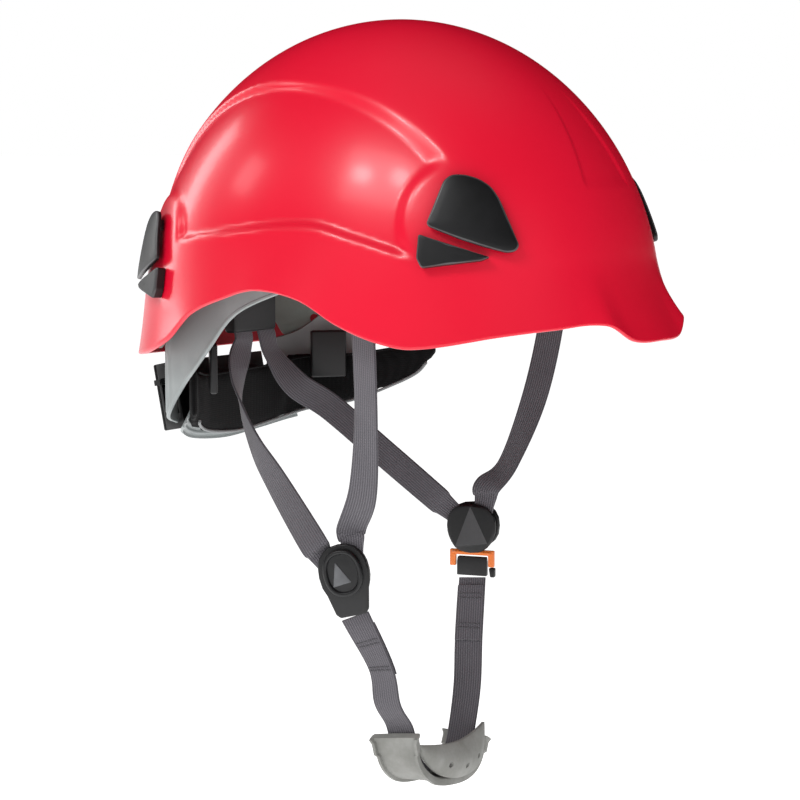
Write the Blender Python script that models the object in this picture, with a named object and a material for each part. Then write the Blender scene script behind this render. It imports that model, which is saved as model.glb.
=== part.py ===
"""Climbing helmet: a hard shell with four lamp clips, a headband with a geared nape unit, and a strap harness.

Frame: metres, +Z up, -Y is the front of the helmet and +X the wearer's left.
The origin is where the crown of the head meets the cradle, on the middle plane.
"""
import math

import bmesh
import bpy
from mathutils import Matrix, Vector

MM = 0.001
GAP = 0.3 * MM                   # what pieces that touch keep between their faces

# shell
HALF_LENGTH = 140 * MM           # outside, front to back, without the flared rim
HALF_WIDTH = 107 * MM
CROWN_HEIGHT = 40 * MM           # top of the shell over the crown of the head
DOME_HEIGHT = 147.5 * MM         # from the top of the dome to where its wall is upright
PLAN_POWER = 2.16                # 2 would be a plain ellipse in plan
WALL = 3 * MM
PANEL_STEP = 2.5 * MM            # how far the side panels lie under the crown band
RIDGE_HALF_WIDTH = 71.5 * MM     # half width of the crown band at its widest
RIDGE_WIDEST_Y = -60 * MM
RIDGE_BOW = 0.95                 # narrowing of the crown band, per metre
RIDGE_CHAMFER = 6 * MM
# azimuth from the front in degrees, height of the rim
RIM = ((0, -117), (9, -116), (16, -108), (28, -109.5), (41, -112.5), (60, -118.5), (68, -115.5),
       (76, -108), (84, -97), (93, -93), (101, -98), (111, -107), (121, -122), (137, -131), (180, -136))
# azimuth, height of the crease between the side panel and the flared rim
CREASE = ((0, -78), (45, -80), (60, -77), (73, -69), (84, -63), (101, -66.5), (132, -75.5), (180, -85))
# azimuth, how far the rim flares out
FLARE = ((0, 16), (14, 14), (22, 8), (40, 5), (90, 4), (150, 5), (180, 5))
SHELL_COLUMNS = 72
SHELL_ROWS = 18

# lamp clips
CLIP_CENTRE_Y = {"front": -92 * MM, "rear": 100 * MM}
CLIP_CENTRE_Z = {"front": -59 * MM, "rear": -79 * MM}
CLIP_STANDOFF = 0.5 * MM
CLIP_SLOT = 2.6 * MM             # room for a lamp band under the flap
FLAP_THICKNESS = 2.2 * MM
# distance toward the nearer end of the helmet, height over the clip's centre
FLAP_OUTLINE = ((-20, -2), (-13.5, 14.5), (-5, 20), (5, 19.5), (11, 15), (15, 8),
                (22.5, -12.5), (17.5, -15), (-3, -9.5), (-13.5, -5.5))
BASE_OUTLINE = ((-24, -7), (-15.5, -9.5), (-4, -13), (9.5, -17.5), (5.5, -19), (-23.5, -22.5), (-25.8, -18))
PIVOT_OUTLINE = ((-9, 12), (-5, 16.5), (4.5, 16), (7.5, 12))

# headband, arms and nape unit
BAND_HALF_LENGTH = 98 * MM
BAND_HALF_WIDTH = 80 * MM
BAND_CENTRE_Y = 8 * MM
BAND_TOP_Z = -62 * MM
BAND_WIDTH = 28 * MM
BAND_THICKNESS = 2 * MM
BAND_END_DEG = 108
BROW_THICKNESS = 7 * MM
BROW_END_DEG = 72
PIVOT_Y = 24 * MM
PIVOT_Z = -84 * MM
PEG_RADIUS = 4 * MM
ARM_THICKNESS = 2 * MM
NAPE_Z = -157 * MM               # height of the knob's axis
NAPE_TILT_DEG = 12               # the unit's top leans back
NAPE_FACE_Y = 117 * MM           # face of the housing toward the head
HOUSING_WIDTH = 76 * MM
HOUSING_HEIGHT = 36 * MM
HOUSING_DEPTH = 13 * MM
HOUSING_WALL = 1.8 * MM
COVER_THICKNESS = 2 * MM
KNOB_RADIUS = 20 * MM
KNOB_THICKNESS = 11 * MM
KNOB_RIBS = 24
TOOTH_MODULE = 1.0 * MM
PINION_TEETH = 10
GEAR_WIDTH = 4 * MM
TOOTH_CLEARANCE = 0.35 * MM
RACK_LENGTH = 74 * MM
RACK_BACK = 3 * MM
SHAFT_RADIUS = 2.2 * MM
PAD_THICKNESS = 5 * MM
PAD_HEIGHT = 40 * MM

# harness
WEB_WIDTH = 15 * MM
WEB_THICKNESS = 1.4 * MM
BUNCHED = 0.7                    # how far webbing is drawn together inside a divider
CRADLE_WIDTH = 20 * MM
REAR_BLOCK_Y = 98.4 * MM
REAR_BLOCK_Z = -108 * MM
REAR_BLOCK_HEIGHT = 34 * MM
DIVIDER_X = 58 * MM
DIVIDER_Y = -8 * MM
DIVIDER_Z = {"right": -240 * MM, "left": -231 * MM}
DIVIDER_TURN_DEG = {"right": 25, "left": -15}   # how far the outer face turns toward the front
DIVIDER_LEAN_DEG = {"right": 13, "left": 0}     # how far the foot swings toward the front

COLOURS = {
    "shell red": ((0.70, 0.005, 0.03), 0.25, 0.0),
    "clip black": ((0.012, 0.012, 0.014), 0.4, 0.0),
    "band grey": ((0.26, 0.29, 0.29), 0.45, 0.0),
    "nape black": ((0.01, 0.01, 0.01), 0.45, 0.0),
    "foam black": ((0.008, 0.008, 0.009), 0.95, 0.0),
    "webbing grey": ((0.10, 0.095, 0.105), 0.85, 0.0),
    "latch orange": ((0.75, 0.17, 0.03), 0.35, 0.0),
    "rubber grey": ((0.19, 0.19, 0.175), 0.8, 0.0),
}


def material(name):
    found = bpy.data.materials.get(name)
    if found:
        return found
    colour, roughness, metallic = COLOURS[name]
    made = bpy.data.materials.new(name)
    made.use_nodes = True
    shader = made.node_tree.nodes["Principled BSDF"]
    shader.inputs["Base Color"].default_value = (*colour, 1.0)
    shader.inputs["Roughness"].default_value = roughness
    shader.inputs["Metallic"].default_value = metallic
    return made


def finish(name, mesh, colour, sharp_deg=35):
    """Close the mesh's normals outward and put it in the scene under its own name."""
    bmesh.ops.remove_doubles(mesh, verts=mesh.verts, dist=1e-6)
    bmesh.ops.recalc_face_normals(mesh, faces=mesh.faces)
    if mesh.calc_volume(signed=True) < 0:
        bmesh.ops.reverse_faces(mesh, faces=mesh.faces)
    data = bpy.data.meshes.new(name)
    mesh.to_mesh(data)
    mesh.free()
    data.shade_smooth()
    data.set_sharp_from_angle(angle=math.radians(sharp_deg))
    data.materials.append(material(colour))
    piece = bpy.data.objects.new(name, data)
    bpy.context.scene.collection.objects.link(piece)
    return piece


def set_origin(piece, point):
    """Move a piece's origin to a point, with its mesh left where it is."""
    shift = Vector(point)
    for vertex in piece.data.vertices:
        vertex.co -= shift
    piece.location = shift
    return piece


def loft(name, sections, colour, ring=False):
    """Closed solid through sections of equal point counts, capped at both ends unless it is a ring."""
    mesh = bmesh.new()
    rows = [[mesh.verts.new(point) for point in section] for section in sections]
    count = len(rows[0])
    pairs = list(zip(rows, rows[1:]))
    if ring:
        pairs.append((rows[-1], rows[0]))
    for first, second in pairs:
        for i in range(count):
            j = (i + 1) % count
            mesh.faces.new((first[i], first[j], second[j], second[i]))
    if not ring:
        mesh.faces.new(rows[0])
        mesh.faces.new(rows[-1])
    return finish(name, mesh, colour)


def smooth_path(points, steps):
    """Catmull-Rom curve through the points, with the same number of steps between each pair."""
    points = [Vector(point) for point in points]
    padded = [2 * points[0] - points[1], *points, 2 * points[-1] - points[-2]]
    path = []
    for p0, p1, p2, p3 in zip(padded, padded[1:], padded[2:], padded[3:]):
        for step in range(steps):
            t = step / steps
            path.append(0.5 * (2 * p1 + (p2 - p0) * t + (2 * p0 - 5 * p1 + 4 * p2 - p3) * t * t
                               + (3 * p1 - p0 - 3 * p2 + p3) * t ** 3))
    path.append(points[-1])
    return path


def strip(name, path, across, width, thickness, colour, bunched=0):
    """Flat band along a path. across gives the direction of its width at each point of the path.
    Its last few sections, as many as bunched says, narrow evenly to BUNCHED of the width."""
    sections = []
    last = len(path) - 1
    for i, point in enumerate(path):
        along = (path[min(i + 1, last)] - path[max(i - 1, 0)]).normalized()
        wide = across(i / last)
        narrowing = 1 - (1 - BUNCHED) * max(0, i - last + bunched) / max(bunched, 1)
        wide = (wide - wide.project(along)).normalized() * (width / 2 * narrowing)
        thick = along.cross(wide).normalized() * (thickness / 2)
        sections.append([point - wide - thick, point + wide - thick, point + wide + thick, point - wide + thick])
    return loft(name, sections, colour)


def ease(t):
    t = min(1.0, max(0.0, t))
    return t * t * (3 - 2 * t)


def table(rows, azimuth):
    """Smooth reading of a table of azimuth against millimetres, level at both of its ends."""
    angle = min(abs(azimuth), rows[-1][0])
    i = max(k for k in range(len(rows) - 1) if rows[k][0] <= angle)
    (a0, v0), (a1, v1) = rows[i:i + 2]
    slopes = [0.0 if k in (0, len(rows) - 1) else
              (rows[k + 1][1] - rows[k - 1][1]) / (rows[k + 1][0] - rows[k - 1][0]) for k in (i, i + 1)]
    span = a1 - a0
    t = (angle - a0) / span
    value = v0 + (v1 - v0) * t * t * (3 - 2 * t)
    return (value + span * (slopes[0] * t * (1 - t) ** 2 - slopes[1] * t * t * (1 - t))) * MM


def power(value, exponent):
    return math.copysign(abs(value) ** exponent, value)


def wall_level():
    return CROWN_HEIGHT - DOME_HEIGHT


def shell_base(azimuth, height):
    """Point and outward normal of the smooth dome at an azimuth from the front and a height."""
    rise = max(0.0, min(1.0, (height - wall_level()) / DOME_HEIGHT))
    spread = math.sqrt(max(0.0, 1 - rise * rise))
    sine, cosine = math.sin(math.radians(azimuth)), math.cos(math.radians(azimuth))
    point = Vector((HALF_WIDTH * spread * power(sine, 2 / PLAN_POWER),
                    -HALF_LENGTH * spread * power(cosine, 2 / PLAN_POWER), height))
    normal = Vector((power(point.x / HALF_WIDTH, PLAN_POWER - 1) / HALF_WIDTH,
                     power(point.y / HALF_LENGTH, PLAN_POWER - 1) / HALF_LENGTH,
                     rise / DOME_HEIGHT))
    return point, normal.normalized()


def ridge_x(y):
    return RIDGE_HALF_WIDTH - RIDGE_BOW * (y - RIDGE_WIDEST_Y) ** 2


def clip_azimuth(end):
    """Azimuth at which a clip's centre lies on the dome."""
    low, high = (0.0, 90.0) if end == "front" else (90.0, 180.0)
    for _ in range(40):
        middle = (low + high) / 2
        if shell_base(middle, CLIP_CENTRE_Z[end])[0].y < CLIP_CENTRE_Y[end]:
            low = middle
        else:
            high = middle
    return (low + high) / 2


def clip_boss(point):
    """1 on the flat bosses that carry the clips, 0 away from them."""
    boss = 0.0
    for end in ("front", "rear"):
        centre = shell_base(clip_azimuth(end), CLIP_CENTRE_Z[end])[0]
        away = (Vector((abs(point.x), point.y, point.z)) - centre).length
        boss = max(boss, ease((36 * MM - away) / (8 * MM)))
    return boss


def shell_flared(azimuth, height):
    """Point and normal of the dome with its flared rim, before the side panels are let in."""
    point, normal = shell_base(azimuth, height)
    crease = table(CREASE, azimuth)
    fall = max(0.0, (crease - height) / (crease - table(RIM, azimuth)))
    flare = table(FLARE, azimuth) * fall ** 1.8
    out = Vector((normal.x, normal.y, 0.0))
    return point + (out.normalized() * flare if out.length > 1e-6 else Vector()), normal


def shell_outer(azimuth, height):
    """Outer surface of the shell, with its side panels and its flared rim."""
    point, normal = shell_base(azimuth, height)
    crease = table(CREASE, azimuth)
    beside = ease((abs(point.x) - ridge_x(point.y)) / RIDGE_CHAMFER)
    above = ease((height - crease) / (4 * MM))
    fore = ease((abs(azimuth) - 40) / 8)
    aft = ease((158 - abs(azimuth)) / 8)
    panel = PANEL_STEP * beside * above * fore * aft * (1 - clip_boss(point))
    return shell_flared(azimuth, height)[0] - normal * panel


def shell_inner(azimuth, height, depth=0.0):
    """Inner surface of the shell, or a point that lies deeper inside it."""
    normal = shell_base(azimuth, height)[1]
    return shell_outer(azimuth, height) - normal * (WALL + depth)


def make_shell():
    """The hard shell: the dome's outer and inner faces, joined round the rim."""
    columns = [360 * i / SHELL_COLUMNS - 180 for i in range(SHELL_COLUMNS)]
    mesh = bmesh.new()

    def face_of(surface):
        grid = []
        for row in range(1, SHELL_ROWS + 1):
            line = []
            for azimuth in columns:
                rim = table(RIM, azimuth)
                sweep = row / SHELL_ROWS
                dome_end = 0.78
                if sweep <= dome_end:
                    level = wall_level() + DOME_HEIGHT * math.cos(math.pi / 2 * sweep / dome_end * 0.93)
                else:
                    start = wall_level() + DOME_HEIGHT * math.cos(math.pi / 2 * 0.93)
                    level = start + (rim - start) * (sweep - dome_end) / (1 - dome_end)
                line.append(mesh.verts.new(surface(azimuth, level)))
            grid.append(line)
        top = mesh.verts.new(surface(0, CROWN_HEIGHT))
        for i in range(SHELL_COLUMNS):
            j = (i + 1) % SHELL_COLUMNS
            mesh.faces.new((top, grid[0][i], grid[0][j]))
            for upper, lower in zip(grid, grid[1:]):
                mesh.faces.new((upper[i], lower[i], lower[j], upper[j]))
        return grid

    outer = face_of(shell_outer)
    inner = face_of(shell_inner)
    for i in range(SHELL_COLUMNS):
        j = (i + 1) % SHELL_COLUMNS
        mesh.faces.new((outer[-1][i], inner[-1][i], inner[-1][j], outer[-1][j]))
    return finish("outer_shell", mesh, "shell red", 50)


def clip_point(end, side, along, up, lift):
    """Point over the shell at a clip: along toward the helmet's nearer end, up, and lift off the dome."""
    ahead = 1 if end == "rear" else -1
    height = CLIP_CENTRE_Z[end] + up
    centre = shell_base(clip_azimuth(end), height)[0]
    tangent = Vector((-centre.y / HALF_LENGTH ** 2, centre.x / HALF_WIDTH ** 2, 0)).normalized()
    target = centre.y + abs(tangent.y) * along * ahead
    low, high = 0.0, 180.0
    for _ in range(40):
        middle = (low + high) / 2
        if shell_base(middle, height)[0].y < target:
            low = middle
        else:
            high = middle
    point, normal = shell_flared((low + high) / 2, height)
    point = point + normal * lift
    return Vector((point.x * side, point.y, point.z))


def clip_plate(name, end, side, outline, low, high, colour, inset=0.8 * MM):
    """Plate that follows the dome between two lifts, with its upper edge drawn in a little."""
    centre_along = sum(point[0] for point in outline) / len(outline)
    centre_up = sum(point[1] for point in outline) / len(outline)
    fine = []
    for (a0, u0), (a1, u1) in zip(outline, outline[1:] + outline[:1]):
        steps = max(1, round(math.hypot(a1 - a0, u1 - u0) / 9))
        fine += [(a0 + (a1 - a0) * k / steps, u0 + (u1 - u0) * k / steps) for k in range(steps)]
    mesh = bmesh.new()

    def ring(scale, lift, shrink=0.0):
        points = []
        for along, up in fine:
            reach = math.hypot(along - centre_along, up - centre_up)
            factor = scale * (1 - shrink / MM / reach)
            points.append(mesh.verts.new(clip_point(end, side, (centre_along + (along - centre_along) * factor) * MM,
                                                    (centre_up + (up - centre_up) * factor) * MM, lift)))
        return points

    loops = [ring(0.5, low), ring(1, low), ring(1, high - inset), ring(1, high, inset), ring(0.5, high)]
    for first, second in zip(loops, loops[1:]):
        for i in range(len(fine)):
            j = (i + 1) % len(fine)
            mesh.faces.new((first[i], first[j], second[j], second[i]))
    for loop, lift in ((loops[0], low), (loops[-1], high)):
        hub = mesh.verts.new(clip_point(end, side, centre_along * MM, centre_up * MM, lift))
        for i in range(len(fine)):
            mesh.faces.new((hub, loop[i], loop[(i + 1) % len(fine)]))
    return finish(name, mesh, colour)


def make_clips():
    """Four lamp clips: on each, a base piece, a pivot block and the flap that springs open."""
    under = CLIP_STANDOFF + CLIP_SLOT
    for end in ("front", "rear"):
        for hand, side in (("right", -1), ("left", 1)):
            stem = f"{end}_{hand}_clip"
            clip_plate(f"{stem}_base", end, side, BASE_OUTLINE, CLIP_STANDOFF, under + FLAP_THICKNESS, "clip black")
            clip_plate(f"{stem}_pivot", end, side, PIVOT_OUTLINE, CLIP_STANDOFF, under - GAP, "clip black",
                       0.2 * MM)
            flap = clip_plate(f"{stem}_flap", end, side, FLAP_OUTLINE, under, under + FLAP_THICKNESS, "clip black")
            set_origin(flap, clip_point(end, side, 0, 20 * MM, under))


def band_point(azimuth, height, out=0.0):
    """Point on the headband's oval, or out from it."""
    sine, cosine = math.sin(math.radians(azimuth)), math.cos(math.radians(azimuth))
    normal = Vector((sine / BAND_HALF_WIDTH, -cosine / BAND_HALF_LENGTH, 0)).normalized()
    return Vector((BAND_HALF_WIDTH * sine, BAND_CENTRE_Y - BAND_HALF_LENGTH * cosine, height)) + normal * out


def band(name, start, end, step, top, bottom, inner, outer, colour):
    """Upright band along the headband's oval between two azimuths."""
    sections = []
    count = max(2, round(abs(end - start) / step))
    for i in range(count + 1):
        azimuth = start + (end - start) * i / count
        high = top(azimuth) if callable(top) else top
        low = bottom(azimuth) if callable(bottom) else bottom
        sections.append([band_point(azimuth, low, inner), band_point(azimuth, low, outer),
                         band_point(azimuth, high, outer), band_point(azimuth, high, inner)])
    return loft(name, sections, colour)


def box(name, centre, size, colour, axes=None, bevel=0.0):
    """Box with its three side directions, and its edges bevelled by bevel."""
    centre = Vector(centre)
    axes = list(axes or (Vector((1, 0, 0)), Vector((0, 1, 0)), Vector((0, 0, 1))))
    if axes[0].cross(axes[1]).dot(axes[2]) < 0:
        axes[0] = -axes[0]
    mesh = bmesh.new()
    bmesh.ops.create_cube(mesh, size=1)
    for vertex in mesh.verts:
        local = vertex.co.copy()
        vertex.co = centre + sum((axes[k] * local[k] * size[k] for k in range(3)), Vector())
    mesh.normal_update()
    if bevel:
        bmesh.ops.bevel(mesh, geom=mesh.edges[:], offset=bevel, segments=1, affect="EDGES")
    return finish(name, mesh, colour)


def turned(name, centre, axis, profile, sides, colour, lobes=0.0):
    """Solid turned about an axis from a profile of (radius, distance along the axis)."""
    axis = Vector(axis).normalized()
    first = axis.orthogonal().normalized()
    second = axis.cross(first)
    sections = []
    for radius, along in profile:
        points = []
        for i in range(sides):
            angle = 2 * math.pi * i / sides
            reach = radius - (lobes if i % 2 and radius > 5 * lobes else 0.0)
            points.append(Vector(centre) + axis * along
                          + (first * math.cos(angle) + second * math.sin(angle)) * reach)
        sections.append(points)
    return loft(name, sections, colour)


def make_headband():
    """The front half of the headband with its brow pad."""
    low = BAND_TOP_Z - BAND_WIDTH
    band("headband", -BAND_END_DEG, BAND_END_DEG, 6, BAND_TOP_Z, low, 0, BAND_THICKNESS, "band grey")
    band("brow_pad", -BROW_END_DEG, BROW_END_DEG, 6, BAND_TOP_Z - 2 * MM, low - 2 * MM,
         -BROW_THICKNESS - GAP, -GAP, "foam black")


def arm_centre(side):
    """Middle line of a nape arm, from its pivot down to the nape housing."""
    out = BAND_HALF_WIDTH + BAND_THICKNESS + 1.3 * MM
    points = [(out, PIVOT_Y - 8 * MM, PIVOT_Z), (out, 45 * MM, -94 * MM), (79.5 * MM, 64 * MM, -108 * MM),
              (73 * MM, 85 * MM, -127 * MM), (60 * MM, 106 * MM, -146 * MM),
              (HOUSING_WIDTH / 2 + 1.5 * MM, NAPE_FACE_Y + ARM_THICKNESS / 2, NAPE_Z + 4 * MM)]
    return [Vector((x * side, y, z)) for x, y, z in points]


def arm_height(t):
    """Height of an arm's section along its length, from 0 at the pivot to 1 at the housing."""
    return (25 + 14 * ease(t * 1.8)) * MM


def make_arms():
    """Two grey arms that carry the nape unit, with the pegs they turn on and their sliders."""
    for hand, side in (("right", -1), ("left", 1)):
        path = smooth_path(arm_centre(side), 4)
        last = len(path) - 1
        sections = []
        for i, point in enumerate(path):
            along = (path[min(i + 1, last)] - path[max(i - 1, 0)])
            flat = Vector((along.x, along.y, 0)).normalized()
            out = Vector((flat.y, -flat.x, 0)) * side
            lean = Vector((along.x, along.y, 0)).normalized()
            up = Vector((0, 0, 1)) * (arm_height(i / last) / 2)
            up = up + lean * (0.35 * arm_height(i / last) / 2 * (1 - i / last))
            half = out * (ARM_THICKNESS / 2)
            sections.append([point - up - half, point - up + half, point + up + half, point + up - half])
        arm = loft(f"nape_arm_{hand}", sections, "band grey")
        set_origin(arm, (0, PIVOT_Y, PIVOT_Z))
        outward = Vector((side, 0, 0))
        reach = BAND_HALF_WIDTH + BAND_THICKNESS + 1.3 * MM + ARM_THICKNESS / 2 + 2 * GAP
        turned(f"side_peg_{hand}", outward * reach + Vector((0, PIVOT_Y, PIVOT_Z)), outward,
               ((PEG_RADIUS, 0), (PEG_RADIUS, 1.6 * MM), (PEG_RADIUS - 1 * MM, 2.6 * MM)), 16, "nape black")


def tilted(point):
    """A point of the upright nape unit, leaned back about the foot of its face."""
    hinge = Vector((0, NAPE_FACE_Y, NAPE_Z))
    return hinge + Matrix.Rotation(math.radians(-NAPE_TILT_DEG), 3, "X") @ (Vector(point) - hinge)


def tilt(piece):
    for vertex in piece.data.vertices:
        vertex.co = tilted(vertex.co)
    return piece


def make_nape_unit():
    """Housing, cover, racks, pinion and knob of the size adjuster."""
    wall = HOUSING_WALL
    back = NAPE_FACE_Y + HOUSING_DEPTH
    housing = box("nape_housing", (0, NAPE_FACE_Y + HOUSING_DEPTH / 2, NAPE_Z),
                  (HOUSING_WIDTH, HOUSING_DEPTH, HOUSING_HEIGHT), "nape black")
    cutters = [
        ((0, back, NAPE_Z), (HOUSING_WIDTH - 2 * wall, 2 * (HOUSING_DEPTH - wall), HOUSING_HEIGHT - 2 * wall)),
        ((0, NAPE_FACE_Y + wall + 5 * MM, NAPE_Z), (HOUSING_WIDTH * 2, 9 * MM, 20 * MM)),
    ]
    for number, (centre, size) in enumerate(cutters):
        cutter = box(f"housing_cutter_{number}", centre, size, "nape black")
        cutter.hide_render = True
        cutter.display_type = "WIRE"
        cut = housing.modifiers.new(f"cut_{number}", "BOOLEAN")
        cut.operation = "DIFFERENCE"
        cut.solver = "EXACT"
        cut.object = cutter
    box("nape_cover", (0, back + GAP + COVER_THICKNESS / 2, NAPE_Z),
        (HOUSING_WIDTH, COVER_THICKNESS, HOUSING_HEIGHT), "nape black", bevel=0.7 * MM)
    cover = bpy.data.objects["nape_cover"]
    hole = turned("cover_cutter", (0, back - 2 * MM, NAPE_Z), (0, 1, 0),
                  ((SHAFT_RADIUS + 0.6 * MM, 0), (SHAFT_RADIUS + 0.6 * MM, 8 * MM)), 20, "nape black")
    hole.hide_render = True
    hole.display_type = "WIRE"
    cut = cover.modifiers.new("shaft_hole", "BOOLEAN")
    cut.operation = "DIFFERENCE"
    cut.object = hole

    pitch_radius = TOOTH_MODULE * PINION_TEETH / 2
    gear_y = NAPE_FACE_Y + wall + 3 * MM
    sections = []
    for along in (0, GEAR_WIDTH):
        points = []
        for i in range(PINION_TEETH * 4):
            angle = 2 * math.pi * (i + 0.5) / (PINION_TEETH * 4)
            tip = i % 4 in (1, 2)
            reach = pitch_radius + (TOOTH_MODULE * 0.8 if tip else -TOOTH_MODULE)
            points.append(Vector((math.sin(angle) * reach, gear_y + along, NAPE_Z + math.cos(angle) * reach)))
        sections.append(points)
    loft("pinion", sections, "nape black")
    shaft_start = gear_y + GEAR_WIDTH + GAP
    knob_start = back + GAP + COVER_THICKNESS + GAP
    knob_end = knob_start + KNOB_THICKNESS
    turned("nape_knob", (0, 0, NAPE_Z), (0, 1, 0),
                  ((SHAFT_RADIUS, shaft_start), (SHAFT_RADIUS, knob_start), (KNOB_RADIUS - 1 * MM, knob_start),
                   (KNOB_RADIUS, knob_start + 1 * MM), (KNOB_RADIUS, knob_end - 2 * MM),
                   (KNOB_RADIUS - 2 * MM, knob_end), (KNOB_RADIUS - 8 * MM, knob_end),
                   (KNOB_RADIUS - 10 * MM, knob_end - 1.2 * MM)), KNOB_RIBS * 2, "nape black", 0.9 * MM)
    make_racks(gear_y, pitch_radius)
    for name in ("nape_housing", "housing_cutter_0", "housing_cutter_1", "nape_cover", "cover_cutter"):
        tilt(bpy.data.objects[name])
    for name in ("pinion", "nape_knob", "rack_right", "rack_left"):
        set_origin(tilt(bpy.data.objects[name]), tilted((0, gear_y, NAPE_Z)))


def make_racks(gear_y, pitch_radius):
    """Two toothed bars that the pinion drives apart, the right one over it and the left one under it."""
    pitch = math.pi * TOOTH_MODULE
    for hand, side, over in (("right", -1, 1), ("left", 1, -1)):
        line = pitch_radius + TOOTH_CLEARANCE / 2
        tip = line - TOOTH_MODULE * 0.75
        root = line + TOOTH_MODULE * 1.15
        back = root + RACK_BACK
        start = -(4 + 0.29) * pitch
        outline = []
        teeth = 12
        for i in range(teeth):
            x = start + i * pitch
            outline += [(x, root), (x + pitch * 0.22, tip), (x + pitch * 0.36, tip), (x + pitch * 0.58, root)]
        outline += [(start + RACK_LENGTH - 14 * MM, root), (start + RACK_LENGTH - 14 * MM, back), (start, back)]
        sections = []
        for along in (0, GEAR_WIDTH):
            sections.append([Vector((x * side, gear_y + along, NAPE_Z + z * over)) for x, z in outline])
        loft(f"rack_{hand}", sections, "nape black")


def make_nape_pad():
    """Foam liner round the nape. It reaches further forward on the left, where it hangs lower."""
    clear = PAD_THICKNESS + 1 * MM
    route = ((-60, 91, -153, 30), (-46, 104, -158, 34), (-28, 111, -162, 37), (0, 112.5, -163, PAD_HEIGHT / MM),
             (28, 111, -161, 38), (50, 102, -157, 36), (66, 80, -154, 32), (73, 60, -149, 27), (75.5, 38, -142, 20),
             (76.3, 27, -136, 7))
    middle = smooth_path([(x * MM, y * MM, z * MM) for x, y, z, _ in route], 4)
    heights = smooth_path([(height * MM, 0, 0) for *_, height in route], 4)
    last = len(middle) - 1
    sections = []
    for i, point in enumerate(middle):
        along = middle[min(i + 1, last)] - middle[max(i - 1, 0)]
        inward = Vector((along.y, -along.x, 0)).normalized()
        half = Vector((0, 0, heights[i].x / 2))
        start = point + inward * (clear - PAD_THICKNESS)
        end = point + inward * clear
        slim = half * 0.82
        sections.append([start - half, start + half, end + slim, end - slim])
    loft("nape_pad", sections, "foam black")


def make_hangers():
    """Plates that hang the headband from the shell, and the block for the rear straps."""
    for hand, side in (("right", -1), ("left", 1)):
        for end, azimuth, drop, wide, tall in (("front", 38, -72, 22, 26), ("rear", 139, -108, 34, 34)):
            centre = shell_inner(azimuth, drop * MM, 7 * MM)
            normal = shell_base(azimuth, drop * MM)[1]
            out = Vector((normal.x, normal.y, 0)).normalized()
            tangent = Vector((-out.y, out.x, 0))
            mirror = Vector((side, 1, 1))
            axes = [Vector([a * b for a, b in zip(axis, mirror)]) for axis in (tangent, out, Vector((0, 0, 1)))]
            place = Vector([a * b for a, b in zip(centre, mirror)])
            plate = box(f"{end}_hanger_{hand}", place, (wide * MM, 2 * MM, tall * MM), "band grey", axes, 0.8 * MM)
            if end == "rear":
                for vertex in plate.data.vertices:
                    along = (vertex.co - place).dot(axes[0]) / (wide * MM)
                    fall = 0.5 - (vertex.co.z - place.z) / (tall * MM)
                    vertex.co += axes[0] * fall * (4 - 14 * (along + 0.5)) * MM
                    vertex.co.z += fall * (0.5 - along) * 8 * MM
                cutter = turned(f"hanger_cutter_{hand}",
                                place - axes[0] * 7 * MM - axes[1] * 3 * MM - Vector((0, 0, 4 * MM)), axes[1],
                                ((2.6 * MM, 0), (2.6 * MM, 6 * MM)), 16, "band grey")
                cutter.hide_render = True
                cutter.display_type = "WIRE"
                cut = plate.modifiers.new("oval_hole", "BOOLEAN")
                cut.operation = "DIFFERENCE"
                cut.object = cutter
    box("rear_strap_block", (0, REAR_BLOCK_Y, REAR_BLOCK_Z), (36 * MM, 9 * MM, REAR_BLOCK_HEIGHT), "clip black",
        bevel=1.5 * MM)


def make_sliders():
    """Black sleeves on the inner face of the arms that lock their height."""
    for hand, side in (("right", -1), ("left", 1)):
        out = Vector((0.66 * side, 0.75, 0)).normalized()
        tangent = Vector((out.y, -out.x, 0))
        centre = Vector((50.5 * MM * side, 83.3 * MM, -140 * MM))
        box(f"arm_slider_{hand}", centre, (20 * MM, 4 * MM, 26 * MM), "clip black",
            (tangent, out, Vector((0, 0, 1))), 0.8 * MM)


def make_cradle():
    """Two webbing bands that cross over the crown, with the pad under them and their end tabs."""
    for level, (name, sign) in enumerate((("cradle_band_a", 1), ("cradle_band_b", -1))):
        top = (6 + 2 * level) * MM
        points = [(-59 * sign, -57, -48), (-50 * sign, -47, -24), (-30 * sign, -28, -3), (-13 * sign, -12, top / MM),
                  (0, 0, top / MM), (13 * sign, 12, top / MM), (30 * sign, 29, -3), (50 * sign, 50, -24), (59 * sign, 62, -48)]
        path = smooth_path([(x * MM, y * MM, z * MM) for x, y, z in points], 3)
        diagonal = Vector((-1 * sign, -1, 0)).normalized()
        side = Vector((diagonal.y, -diagonal.x, 0))
        strip(name, path, lambda t, side=side: side, CRADLE_WIDTH, 1.2 * MM, "webbing grey")
        for hand, x in (("right", -1), ("left", 1)):
            end = path[0] if x * -sign > 0 else path[-1]
            where = "front" if end.y < 0 else "rear"
            inward = -Vector((end.x, end.y, 0)).normalized()
            tangent = Vector((-inward.y, inward.x, 0))
            place = end + Vector((0, 0, -5.5 * MM - 6 * GAP))
            box(f"cradle_tab_{where}_{hand}", place, (16 * MM, 2.4 * MM, 11 * MM), "clip black",
                (tangent, inward, Vector((0, 0, 1))), 0.8 * MM)
    turned("crown_pad", (0, 0, 0), (0, 0, 1),
           ((16 * MM, 0), (18 * MM, 1.2 * MM), (18 * MM, 2.8 * MM), (16 * MM, 4 * MM)), 24, "foam black")


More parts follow.
